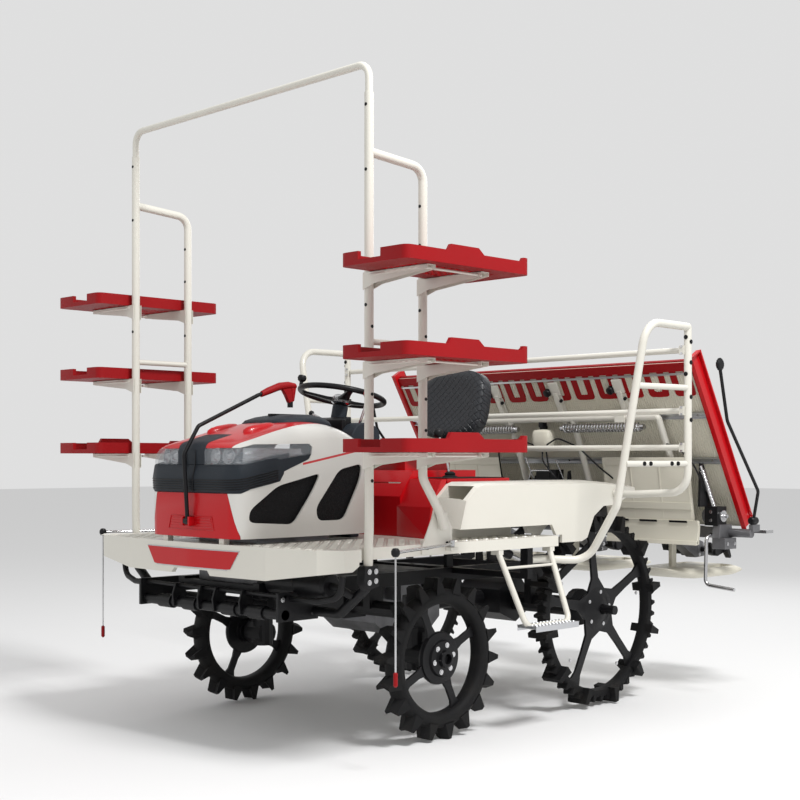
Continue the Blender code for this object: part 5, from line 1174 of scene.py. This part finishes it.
# %% [markdown]
# The seat is stuffed: plump rings drawn as superellipses, with a piped seam round the rim. The quilting is a
# height map of crossing slanted lines, worked out from the object's own coordinates, so it needs no image.
# %% Seat
quilt = Finish("quilted_vinyl", (0.014, 0.016, 0.020), 0.42)
qx, qy, qz = quilt.axes()
slanted = []
for sign in (1, -1):
    run = (qx * sign + qz * 1.0 + qy * 0.6) * 26.0
    wave = quilt.node("ShaderNodeMath", {"operation": "SINE"}, [run * math.pi])
    slanted.append(wave.size())
ridge = quilt.node("ShaderNodeMath", {"operation": "MINIMUM"}, slanted)
quilt.set("Roughness", 0.36 + ridge * 0.14)
quilt.bump(ridge.over(0.16, 0.3), 0.004, 0.9)


def squircle(centre, across, along, a, b, power=0.5, count=40):
    return [centre + across * a * squared(math.cos(t), power)
            + along * b * squared(math.sin(t), power)
            for t in (2 * math.pi * (k + 0.5) / count for k in range(count))]


X, Y, Z = Vector((1, 0, 0)), Vector((0, 1, 0)), Vector((0, 0, 1))
cushion = Pen()
cushion.rings([squircle(at(0, 1.0, z), X, Y, a, b) for z, a, b in
               ((1.1432, 0.19, 0.20), (1.150, 0.218, 0.222), (1.168, 0.233, 0.234), (1.188, 0.2345, 0.2345),
                (1.203, 0.228, 0.228),
                (1.211, 0.212, 0.212), (1.2145, 0.18, 0.182), (1.2085, 0.13, 0.14), (1.2035, 0.06, 0.07),
                (1.203, 0.01, 0.01))])
cushion.pipe(squircle(at(0, 1.0, 1.178), X, Y, 0.2325, 0.2325), 0.003, sides=8, loop=True)
back = Pen()
LEANING = Matrix.Rotation(math.radians(-12), 3, "X")
middle = at(0, 1.285, 1.385)
depths = ((0.045, 0.84, 0.84), (0.040, 0.93, 0.93), (0.022, 1.0, 1.0), (-0.020, 1.0, 1.0), (-0.036, 0.95, 0.95),
          (-0.0435, 0.86, 0.84), (-0.045, 0.80, 0.77), (-0.038, 0.62, 0.60), (-0.033, 0.3, 0.3), (-0.032, 0.05, 0.05))
back.rings([squircle(middle + LEANING @ Vector((0, d, 0)), X, LEANING @ Z, 0.205 * a, 0.165 * b, 0.62) for d, a,
            b in depths])
back.pipe(squircle(middle + LEANING @ Vector((0, -0.026, 0)), X, LEANING @ Z, 0.2015, 0.1615, 0.62), 0.003, sides=8,
          loop=True)
seat_pad = cushion.piece("cushion_pad", quilt, "seat", "black_vinyl", ("seat_cushion",), smooth=60)
back_pad = back.piece("back_pad", quilt, "seat", "black_vinyl", ("seat_back",), smooth=60)
seat_pad.modifiers.clear()
stem = Pen().block(at(-0.10, 1.19, 1.155), at(0.10, 1.275, 1.185)).block(at(-0.09, 1.262, 1.185),
                                                                         at(0.09, 1.295, 1.30))
stem.block(at(-0.16, 0.86, 1.1428), at(-0.13, 1.16, 1.150)).block(at(0.13, 0.86, 1.1428), at(0.16, 1.16, 1.150))
stem.piece("seat_stem", black, "seat", "black_paint", bevel=0.003)
spring = Pen()
for x in (-0.11, 0.11):
    spring.turned([(0.012 + 0.004 * math.cos(k * math.pi), 1.122 - 1.1 + 0.0024 * k - 0.002)
                   for k in range(9)] + [(TIP, 0.0392), (TIP, 0.02)],
                  at(x, 0.93, 1.10), (0, 0, 1), 16)
spring.piece("seat_springs", steel, "machine", "plated_steel")
plate_marks = Pen().block(at(0.305, 0.72, 1.0473), at(0.49, 1.08, 1.051)).mirrored()
plate_marks.piece("side_pads", rubber, "machine", "black_rubber", bevel=0.002)

# %% [markdown]
# Places on the seedling platform are given in its own slope: across, down from the top edge, and out towards
# the tray side. `slope` turns them into metres, so the lanes, ribs and channels stay simple lists.
# %% Seedling platform
SLOPE_TOP, SLOPE_FOOT = at(0, 1.85, 1.57), at(0, 2.31, 0.8123)
DOWN = (at(0, 2.31, 0.79) - SLOPE_TOP).normalized()
OUT = Vector((0, -DOWN.z, DOWN.y))
if OUT.y < 0:
    OUT.negate()
LONG = (SLOPE_FOOT - SLOPE_TOP).length


def slope(x, d, h):
    return SLOPE_TOP + DOWN * d + OUT * h + X * x


def slab(pen, x, d, h):
    """A block on the slope from three (low, high) pairs."""
    corners = lambda w: [slope(w, d[0], h[0]), slope(w, d[1], h[0]), slope(w, d[1], h[1]), slope(w, d[0], h[1])]
    return pen.rings([corners(x[0]), corners(x[1])])


sheet = slab(Pen(), (-0.949, 0.949), (0.0, LONG), (0.0, 0.012))
for x in (-0.9, -0.6, -0.3, 0, 0.3, 0.6, 0.9):
    slab(sheet, (x - 0.004, x + 0.004), (0.004, LONG), (0.011, 0.035))
slab(sheet, (-0.949, 0.949), (LONG - 0.012, LONG - 0.001), (0.011, 0.022))
sheet.piece("platform_sheet", cream_plastic, "tray_platform", "cream_plastic", ("tray_platform",), bevel=0.0015)
fine = slab(Pen(), (-0.941, -0.936), (0.045, LONG - 0.03), (-0.0035, 0.0005))
grown("platform_ribs_front", ROW, fine, cream_plastic, "tray_platform",
      {"Count": 145, "Step": (0.01303, 0, 0)})
lane = slab(Pen(), (-0.8725, -0.8675), (0.03, LONG - 0.02), (0.0115, 0.0165))
grown("platform_ribs_back", ROW, lane, cream_plastic, "tray_platform",
      {"Count": 59, "Step": (0.03, 0, 0)})
trim = slab(Pen(), (-0.949, 0.949), (-0.004, 0.040), (-0.0055, -0.0003))
slab(trim, (-0.949, 0.949), (-0.006, 0.012), (0.0125, 0.030))
trim.piece("platform_edge", red_plastic, "tray_platform", "red_plastic", bevel=0.0015)
letter = Pen()
outer_u, inner_u = [], []
for k in range(9):
    t = math.pi * k / 8
    square = abs(math.cos(t)) ** 0.35 * math.copysign(1, math.cos(t)), abs(math.sin(t)) ** 0.6
    outer_u.append((0.056 * square[0], 0.140 + 0.030 * square[1]))
    inner_u.append((0.021 * square[0], 0.132 + 0.010 * square[1]))
quads = list(zip([(0.056, 0.030)] + outer_u + [(-0.056, 0.030)], [(0.021, 0.030)] + inner_u + [(-0.021, 0.030)]))
letter.rings([[slope(-0.87 + a[0], a[1], -0.0048), slope(-0.87 + b[0], b[1], -0.0048),
               slope(-0.87 + b[0], b[1], -0.0003),
               slope(-0.87 + a[0], a[1], -0.0003)] for a, b in quads])
grown("platform_loops", ROW, letter, red_plastic, "tray_platform",
      {"Count": 13, "Step": (0.145, 0, 0)})
rails = Pen()
slab(rails, (0.948, 0.956), (-0.03, LONG + 0.01), (-0.02, 0.065))
slab(rails, (0.948, 0.972), (-0.03, LONG + 0.01), (-0.02, -0.014))
slab(rails, (0.948, 0.972), (-0.03, LONG + 0.01), (0.059, 0.065))
slab(rails, (0.948, 0.972), (-0.03, -0.024), (-0.02, 0.065))
rails = rails.mirrored()
rails.piece("platform_rails", red, "tray_platform", "red_paint", bevel=0.0015)
channels = Pen()
for d in (0.255, 0.50):
    slab(channels, (-0.949, 0.949), (d, d + 0.004), (-0.018, -0.0036))
    slab(channels, (-0.949, 0.949), (d + 0.026, d + 0.030), (-0.018, -0.0036))
    slab(channels, (-0.949, 0.949), (d, d + 0.030), (-0.0075, -0.0036))
slab(channels, (-0.949, 0.949), (0.046, 0.056), (-0.010, -0.0036))
channels.piece("platform_channels", aluminium, "tray_platform", "plated_steel", bevel=0.0005)
latches, latch_knobs = Pen(), Pen()
for x in (-0.66, -0.27, 0.12, 0.51):
    slab(latches, (x - 0.028, x + 0.028), (0.062, 0.135), (-0.016, -0.0035))
    slab(latches, (x - 0.028, x + 0.028), (0.14, 0.235), (-0.009, -0.0035))
    slab(latches, (x - 0.012, x + 0.012), (0.12, 0.30), (-0.022, -0.008))
    latch_knobs.knob(slope(x - 0.045, 0.115, -0.020), -OUT, 0.020, -0.012, 0.012)
    latch_knobs.knob(slope(x + 0.02, 0.165, -0.016), -OUT, 0.008, -0.010, 0.006)
latches.piece("tray_latches", cream, "tray_platform", "cream_paint", bevel=0.002)
latch_knobs.piece("latch_knobs", black, "tray_platform", "black_paint", smooth=50)
bolts("channel_bolts", [(slope(x, d + 0.015, -0.0075), -OUT) for d in (0.255, 0.50)
                        for x in (-0.85, -0.55, -0.25, 0.05, 0.35, 0.65, 0.9)],
      0.005, steel, "tray_platform")

# %% [markdown]
# The planting unit hangs on the lift links: a beam with three drive cases, a light tube portal that the
# platform leans on, long balance springs, a white reservoir with its hoses and the levers that feed it.
# %% Planting unit frame
BEAM = (2.19, 0.78)            # station and height of the beam, the portal's top tube and the rotors' axles
PORTAL_TOP = (1.935, 1.33)
ROTOR_AXLE = (2.43, 0.675)
ROTOR_PLACES = (-0.6, 0.0, 0.6)
unit = Pen()
unit.pipe([at(-0.80, *BEAM), at(0.80, *BEAM)], 0.0285, sides=24)
for s in (1, -1):
    low, high = sorted((s * 0.225, s * 0.25))
    unit.plate(view([(2.095, 0.74), (2.18, 0.74), (2.21, 0.79), (2.18, 0.95), (2.095, 0.95)]), low, high, "X")
    for z in (0.77, 0.92):
        unit.knob(at(s * 0.225, 2.13, z), (s, 0, 0), 0.011, 0.0, 0.055)
    low, high = sorted((s * 0.78, s * 0.90))
    unit.block(at(low, 2.15, 0.755), at(high, 2.20, 0.805))
    unit.pipe([at(s * 0.78, *BEAM), at(s * 1.06, *BEAM)], 0.0205, sides=20)
    low, high = sorted((s * 1.048, s * 1.072))
    unit.block(at(low, 2.18, 0.788), at(high, 2.24, 0.8217))
for x in ROTOR_PLACES:
    outline = [(2.18, 0.745), (2.18, 0.812), (2.25, 0.805), (2.40, 0.727), (2.45, 0.712), (2.472, 0.695),
               (2.472, 0.655), (2.455, 0.64),
               (2.385, 0.636)]
    unit.plate(view(outline), x - 0.030, x + 0.030, "X")
    unit.plate(view([(2.26, 0.782), (2.37, 0.726), (2.37, 0.675), (2.26, 0.728)]), x - 0.032, x + 0.032, "X")
    for s in (1, -1):
        unit.turned([(0.0135, 0.0), (0.034, 0.0), (0.034, 0.0035), (0.028, 0.0045), (0.0135, 0.0045)],
                    at(x + s * 0.0295, *ROTOR_AXLE), (s, 0, 0), 24)
unit.piece("unit_beam", iron, "planting_unit", "cast_metal", ("planting_frame",), bevel=0.002)
portal = Pen().pipe([at(-0.705, *PORTAL_TOP), at(0.705, *PORTAL_TOP)], 0.0155, sides=20)
for s in (1, -1):
    portal.pipe([at(s * 0.205, *PORTAL_TOP), at(s * 0.205, 2.11, 0.92), at(s * 0.205, 2.13, 0.77)], 0.016, sides=18)
    portal.pipe([at(s * 0.69, *PORTAL_TOP), at(s * 0.71, 1.937, 1.326), at(s * 0.71, 2.045, 1.13),
                 at(s * 0.71, 2.125, 0.90),
                 at(s * 0.71, 2.19, 0.775)], 0.0155, 0.02, 18)
reach = (at(0, *PORTAL_TOP) - SLOPE_TOP).dot(DOWN)
for x in (-0.5, 0.5):
    touch = slope(x, reach, -0.0186)
    portal.pipe([at(x, *PORTAL_TOP), touch], 0.0095, sides=14)
    portal.block(at(x - 0.028, 1.915, 1.306), at(x + 0.028, 1.955, 1.354))
portal.piece("unit_portal", cream, "planting_unit", "cream_paint", bevel=0.0015)
rods = Pen()
for s in (1, -1):
    rods.pipe([at(s * 0.895, 2.165, 0.78), at(s * 0.895, 2.06, 0.765), at(s * 0.895, 2.05, 0.54),
               at(s * 1.05, 2.05, 0.525)], 0.0088, 0.03)
rods.piece("rest_rods", steel, "planting_unit", "plated_steel")


def coil(pen, start, end, radius, wire, turns, sides=6, per_turn=9):
    """A helical spring between two points."""
    start, end = Vector(start), Vector(end)
    axis = (end - start).normalized()
    side = axis.orthogonal().normalized()
    other = axis.cross(side)
    count = int(turns * per_turn)
    pen.pipe([start.lerp(end, k / count) + (side * math.cos(t) + other * math.sin(t)) * radius
              for k, t in ((k, 2 * math.pi * turns * k / count) for k in range(count + 1))], wire, sides=sides)
    pen.pipe([start - axis * 0.02, start + axis * 0.004], radius * 0.7, sides=10)
    pen.pipe([end - axis * 0.004, end + axis * 0.02], radius * 0.7, sides=10)


springs = Pen()
for low, high in ((-0.62, -0.16), (0.16, 0.62)):
    coil(springs, at(low, 1.922, 1.282), at(high, 1.922, 1.282), 0.019, 0.0048, 26)
for s in (1, -1):
    coil(springs, at(s * 0.885, 2.035, 1.08), at(s * 0.905, 2.11, 0.90), 0.011, 0.003, 26)
springs.piece("balance_springs", steel, "planting_unit", "plated_steel", smooth=60)
tank = Pen().rings([squircle(at(0.0, 1.955, z), X, Y, a, b, 0.6, 28) for z, a, b in
                    ((1.165, 0.030, 0.020), (1.175, 0.045, 0.030), (1.215, 0.058, 0.038), (1.262, 0.058, 0.038),
                     (1.276, 0.050, 0.032),
                     (1.280, 0.020, 0.018))])
tank.piece("reservoir", cream_plastic, "planting_unit", "cream_plastic", smooth=60)
dark = Pen().knob(at(0.0, 1.955, 1.278), (0, 0, 1), 0.021, 0.0, 0.020)
dark.block(at(-0.014, 1.93, 1.29), at(0.014, 1.965, 1.318))
for points in ([(0.0, 1.945, 1.168), (0.02, 1.92, 1.12), (0.10, 1.93, 1.03), (0.12, 2.03, 0.95)],
               [(0.04, 1.93, 1.20), (0.14, 1.89, 1.235), (0.26, 1.90, 1.19), (0.36, 1.96, 1.08), (0.40, 2.03, 1.02)],
               [(-0.04, 1.93, 1.20), (-0.14, 1.89, 1.235), (-0.26, 1.90, 1.18), (-0.30, 1.98, 1.02)],
               [(0.02, 1.95, 1.17), (0.06, 1.93, 1.05), (0.02, 1.98, 0.96)],
               [(0.74, 1.96, 1.20), (0.82, 1.93, 1.19), (0.885, 1.97, 1.10), (0.90, 2.05, 0.98)],
               [(-0.74, 1.96, 1.20), (-0.82, 1.93, 1.19), (-0.885, 1.97, 1.10), (-0.90, 2.05, 0.98)]):
    dark.pipe([at(*p) for p in points], 0.0045, 0.08, 10)
for k, x in enumerate((-0.13, -0.085, 0.07, 0.13)):
    dark.plate(view([(1.975, 0.90), (1.99, 1.03 + 0.012 * k), (2.01, 1.035 + 0.012 * k), (2.03, 0.90)]), x - 0.004,
               x + 0.004, "X")
dark.pipe([at(-0.19, 2.02, 0.985), at(0.19, 2.02, 0.985)], 0.010)
dark.block(at(-0.075, 1.985, 0.93), at(0.055, 2.05, 1.075))
dark.block(at(-0.19, 2.035, 0.88), at(0.19, 2.075, 0.935))
for s in (1, -1):
    low, high = sorted((s * 0.865, s * 0.935))
    dark.block(at(low, 2.09, 0.815), at(high, 2.17, 0.905))
    low, high = sorted((s * 0.872, s * 0.885))
    dark.plate(view([(2.02, 0.905), (2.03, 1.11), (2.05, 1.11), (2.16, 0.905)]), low, high, "X")
dark.piece("unit_linkage", black, "planting_unit", "black_paint", bevel=0.002)
bright = Pen()
for points in ([(-0.11, 1.96, 1.0), (-0.06, 1.93, 1.07), (0.06, 1.93, 1.07), (0.11, 1.96, 1.0)],
               [(-0.15, 1.97, 0.93), (-0.10, 1.94, 1.02), (0.10, 1.94, 1.02), (0.15, 1.97, 0.93)],
               [(0.10, 2.02, 0.985), (0.10, 1.93, 1.12)], [(-0.10, 2.02, 0.985), (-0.10, 1.93, 1.14)]):
    bright.pipe([at(*p) for p in points], 0.004, 0.02, 10)
for s in (1, -1):
    bright.pipe([at(s * 0.87, 2.13, 0.86), at(s * 0.965, 2.13, 0.86)], 0.009)
    bright.knob(at(s * 0.935, 2.13, 0.86), (s, 0, 0), 0.028, 0.0, 0.012)
bright.piece("unit_rods", steel, "planting_unit", "plated_steel")
for s, side in ((1, "left"), (-1, "right")):
    gear = Pen().knob(at(s * 0.865, 2.13, 0.86), (-s, 0, 0), 0.034, 0.0, 0.02)
    low, high = sorted((s * 0.90, s * 0.97))
    gear.block(at(low, 2.10, 0.705), at(high, 2.20, 0.757))
    gear.plate(view([(2.09, 0.757), (2.10, 0.82), (2.20, 0.82), (2.21, 0.757)]), *sorted((s * 0.905, s * 0.945)), "X")
    gear.piece(f"end_case_{side}", iron, "planting_unit", "cast_metal", bevel=0.004)
bolts("unit_bolts", [(at(x + s * 0.0325, u, z), (s, 0, 0)) for x in ROTOR_PLACES for s in (1, -1)
                     for u, z in ((2.205, 0.795), (2.205, 0.757), (2.447, 0.70), (2.41, 0.65))]
      + [(at(s * 0.972, u, z), (s, 0, 0)) for s in (1, -1) for u, z in ((2.12, 0.73), (2.18, 0.73))]
      + [(at(x, 2.089, 0.86 + d), (0, -1, 0)) for x in (-0.90, 0.90) for d in (-0.02, 0.02)],
      0.006, steel, "planting_unit")

# %% [markdown]
# Cream covers close the front of the unit; their faces carry a raised border, upright creases and dark slots.
# The floats are smooth boats with open slots where the planting claws reach through. Each rotor has two
# closed cases with a fork at either end, and the row markers end in a spiked disc.
# %% Covers, floats, rotors and markers
upper, lower = Pen(), Pen()
upper.rings([[at(x, u, z) for u, z in ((2.045, 0.835), (1.9965, 1.125), (2.0, 1.138), (2.009, 1.13), (2.061, 0.835))]
             for x in (0.337, 0.833)])
for x in (0.345, 0.50, 0.665, 0.822):
    upper.rings([[at(x + w, u, z) for u, z in ((2.0425, 0.845), (1.995, 1.118), (2.006, 1.118), (2.055, 0.845))]
                 for w in (-0.005, 0.005)])
upper.rings([[at(x, u, z) for u, z in ((2.031, 0.888), (2.0255, 0.922), (2.034, 0.922), (2.0405, 0.888))]
             for x in (0.338, 0.832)])
upper.rings([[at(x, u, z) for u, z in ((1.9985, 1.098), (1.994, 1.128), (2.004, 1.132), (2.009, 1.098))]
             for x in (0.338, 0.832)])
lower.rings([[at(x, u, z) for u, z in ((2.0345, 0.728), (2.0495, 0.81), (2.040, 0.838), (2.058, 0.838),
                                       (2.066, 0.81), (2.0565, 0.724))]
             for x in (0.337, 0.858)])
lower.rings([[at(x, u, z) for u, z in ((2.029, 0.722), (2.0325, 0.742), (2.044, 0.742), (2.044, 0.722))]
             for x in (0.337, 0.858)])
for a, b in ((0.40, 0.44), (0.755, 0.775)):
    lower.block(at(a, 2.06, 0.765), at(b, 2.158, 0.80))
lower.block(at(0.36, 2.048, 0.80), at(0.80, 2.06, 0.84))
slots = Pen()
for a, b in ((0.365, 0.465), (0.53, 0.63), (0.70, 0.80)):
    slots.rings([[at(x, u, z) for u, z in ((2.0405, 0.826), (2.0385, 0.836), (2.044, 0.836), (2.046, 0.826))]
                 for x in (a, b)])
for side, pens in (("left", (upper, lower, slots)), ("right", [pen.other_side() for pen in (upper, lower, slots)])):
    both_parts = pens[0].add(pens[1].points, pens[1].faces)
    both_parts.piece(f"cover_{side}", cream_plastic, "planting_unit", "cream_plastic", (f"front_cover_{side}",),
                     bevel=0.0015)
    pens[2].piece(f"cover_slots_{side}", black, "planting_unit", "black_paint")
for name, x, half, rear in (("centre", 0.0, 0.20, 2.66), ("left", 0.6, 0.19, 2.60), ("right", -0.6, 0.19, 2.60)):
    rings = []
    for k in range(19):
        t = k / 18
        swell = math.sin(min(1.0, t / 0.35) * math.pi / 2)
        width = half * min(1.0, 0.45 + 0.55 * swell) * (1 - 0.15 * max(0.0, (t - 0.8) / 0.2) ** 2)
        rise = 0.045 * max(0.0, 1 - t / 0.3) ** 2 + 0.014 * max(0.0, (t - 0.8) / 0.2)
        top = 0.6 - 0.015 * max(0.0, (t - 0.9) / 0.1)
        middle, thick = (top + 0.545 + rise) / 2, (top - 0.545 - rise) / 2
        rings.append([at(x + width * squared(math.cos(a), 0.45), 2.06 + (rear - 2.06) * t,
                         middle + thick * squared(math.sin(a), 0.8))
                      for a in (2 * math.pi * (j + 0.5) / 20 for j in range(20))])
    boat = Pen().rings(rings)
    cuts = Pen()
    for s in (1, -1):
        low, high = sorted((x + s * 0.079, x + s * 0.151))
        cuts.block(at(low, 2.32, 0.4), at(high, 2.54, 0.7))
    boat = carved(boat, [("DIFFERENCE", cuts)])
    boat.plate(view([(2.20, 0.593), (2.24, 0.593), (2.24, 0.707), (2.20, 0.727)]), x - 0.009, x + 0.009, "X")
    boat.piece(f"float_boat_{name}", cream_plastic, "planting_unit", "cream_plastic", (f"float_{name}",), smooth=50)
for number, x in enumerate((-0.6, 0.0, 0.6), 1):
    claw = Pen().knob(at(x, *ROTOR_AXLE), (1, 0, 0), 0.0115, -0.125, 0.125)
    for s in (1, -1):
        claw.knob(at(x, *ROTOR_AXLE), (s, 0, 0), 0.0295, 0.0855, 0.1295)
        low, high = sorted((x + s * 0.0955, x + s * 0.1195))
        outline = [(2.43 + 0.078 * squared(math.cos(t), 0.7) * 1.05,
                    0.675 + (0.029 - 0.014 * abs(math.cos(t))) * math.sin(t))
                   for t in (2 * math.pi * k / 24 for k in range(24))]
        claw.plate(view(outline), low, high, "X")
        for d in (1, -1):
            low, high = sorted((x + s * 0.1155, x + s * 0.1445))
            claw.plate(view([(2.43 + d * 0.060, 0.675 - d * 0.012), (2.43 + d * 0.078, 0.675 + d * 0.009),
                             (2.43 + d * 0.096, 0.675 - d * 0.034), (2.43 + d * 0.088, 0.675 - d * 0.043)]), low,
                       high, "X")
            claw.knob(at(x + s * 0.12, 2.43 + d * 0.066, 0.675), (s, 0, 0), 0.010, 0.0, 0.006, 16)
    claw.piece(f"rotor_cases_{number}", black, f"rotor_{number}", "black_paint", (f"rotor_{number}",), bevel=0.0015)
spike = Pen().rings([[at(1.129 + a, 1.80 + b, 1.576) for a,
                      b in ((-0.006, -0.003), (0.006, -0.003), (0.006, 0.003), (-0.006, 0.003))],
                     [at(1.129 + a, 1.80 + b, 1.5805) for a,
                      b in ((-0.002, -0.001), (0.002, -0.001), (0.002, 0.001), (-0.002, 0.001))]])
for side, s in (("left", 1), ("right", -1)):
    marker = Pen().knob(at(s * 1.06, 2.20, 0.84), (0, 1, 0), 0.018, -0.0245, 0.0245)
    marker.pipe([at(s * 1.06, 2.20, 0.84), at(s * 1.115, 2.15, 0.98), at(s * 1.129, 1.86, 1.30),
                 at(s * 1.129, 1.80, 1.535)], 0.0075, 0.05)
    marker.turned([(TIP, -0.009), (0.020, -0.009), (0.026, -0.004), (0.026, 0.004), (0.020, 0.009), (TIP, 0.009)],
                  at(s * 1.129, 1.80, 1.55), (1, 0, 0), 28)
    for k in range(14):
        t = 2 * math.pi * k / 14
        turn = Matrix.Rotation(t, 3, "X")
        hub = at(s * 1.129, 1.80, 1.55)
        points = [hub + turn @ (Vector((s * 1.129 + (p.x - 1.129), p.y, p.z)) - hub + Vector((0, 0, -0.0008)))
                  for p in spike.points]
        marker.add(points, spike.faces)
    marker.piece(f"marker_arm_{side}", black, f"line_marker_{side}", "black_paint", (f"line_marker_{side}",))

# %% [markdown]
# Low at the front sit the tube that carries the racks, the bumper ladder and the silencer.
# %% Under the deck
carrier = Pen()
carrier.pipe([at(-0.756, 0, 0.7348), at(-0.756, 0, 0.66), at(-0.60, 0, 0.545), at(0.60, 0, 0.545),
              at(0.756, 0, 0.66), at(0.756, 0, 0.7348)],
             0.0195, 0.06, 18)
carrier.pipe([at(-0.46, -0.15, 0.54), at(0.46, -0.15, 0.54)], 0.021, sides=20)
carrier.pipe([at(-0.46, -0.15, 0.61), at(0.46, -0.15, 0.61)], 0.008)
for x in (-0.22, -0.05, 0.05, 0.22):
    carrier.plate(view([(-0.18, 0.525), (-0.12, 0.525), (-0.115, 0.575), (-0.13, 0.62), (-0.17, 0.62),
                        (-0.185, 0.575)]), x - 0.005, x + 0.005, "X")
for x in (-0.30, -0.13, 0.13, 0.30):
    carrier.turned([(0.0215, -0.045), (0.028, -0.045), (0.028, 0.045), (0.0215, 0.045)], at(x, -0.15, 0.54),
                   (1, 0, 0), 20)
for s in (1, -1):
    carrier.pipe([at(s * 0.45, -0.12, 0.60), at(s * 0.60, -0.11, 0.60), at(s * 0.70, -0.09, 0.62),
                  at(s * 0.715, -0.09, 0.6988)], 0.0125, 0.05)
    low, high = sorted((s * 0.736, s * 0.777))
    carrier.plate(view([(-0.035, 0.7348), (0.03, 0.7348), (0.035, 0.66), (-0.02, 0.645), (-0.04, 0.68)]), low, high,
                  "X")
    low, high = sorted((s * 0.225, s * 0.265))
    carrier.block(at(low, -0.025, 0.54), at(high, 0.025, 0.5845))
    low, high = sorted((s * 0.445, s * 0.46))
    carrier.block(at(low, -0.185, 0.515), at(high, 0.015, 0.625))
carrier.knob(at(0.2755, -0.06, 0.655), (1, 0, 0), 0.050, 0.0, 0.344, 32, 0.06)
carrier.turned([(0.049, -0.004), (0.0515, -0.004), (0.0515, 0.004), (0.049, 0.004)], at(0.45, -0.06, 0.655),
               (1, 0, 0), 32)
carrier.pipe([at(0.60, -0.06, 0.655), at(0.66, -0.06, 0.65), at(0.69, -0.02, 0.62)], 0.0155, 0.02, 18)
carrier.block(at(0.2655, -0.08, 0.545), at(0.30, 0.0, 0.66))
carrier.piece("carrier_tubes", black, "machine", "black_paint", ("front_carrier",), bevel=0.0015)
bolts("carrier_bolts", [(at(s * 0.778, u, z), (s, 0, 0)) for s in (1, -1) for u,
                        z in ((-0.015, 0.715), (0.018, 0.715), (-0.015, 0.675), (0.018, 0.68))]
      + [(at(s * 0.461, u, z), (s, 0, 0)) for s in (1, -1) for u,
         z in ((-0.165, 0.60), (-0.01, 0.60), (-0.01, 0.54))],
      0.007, steel, "machine")
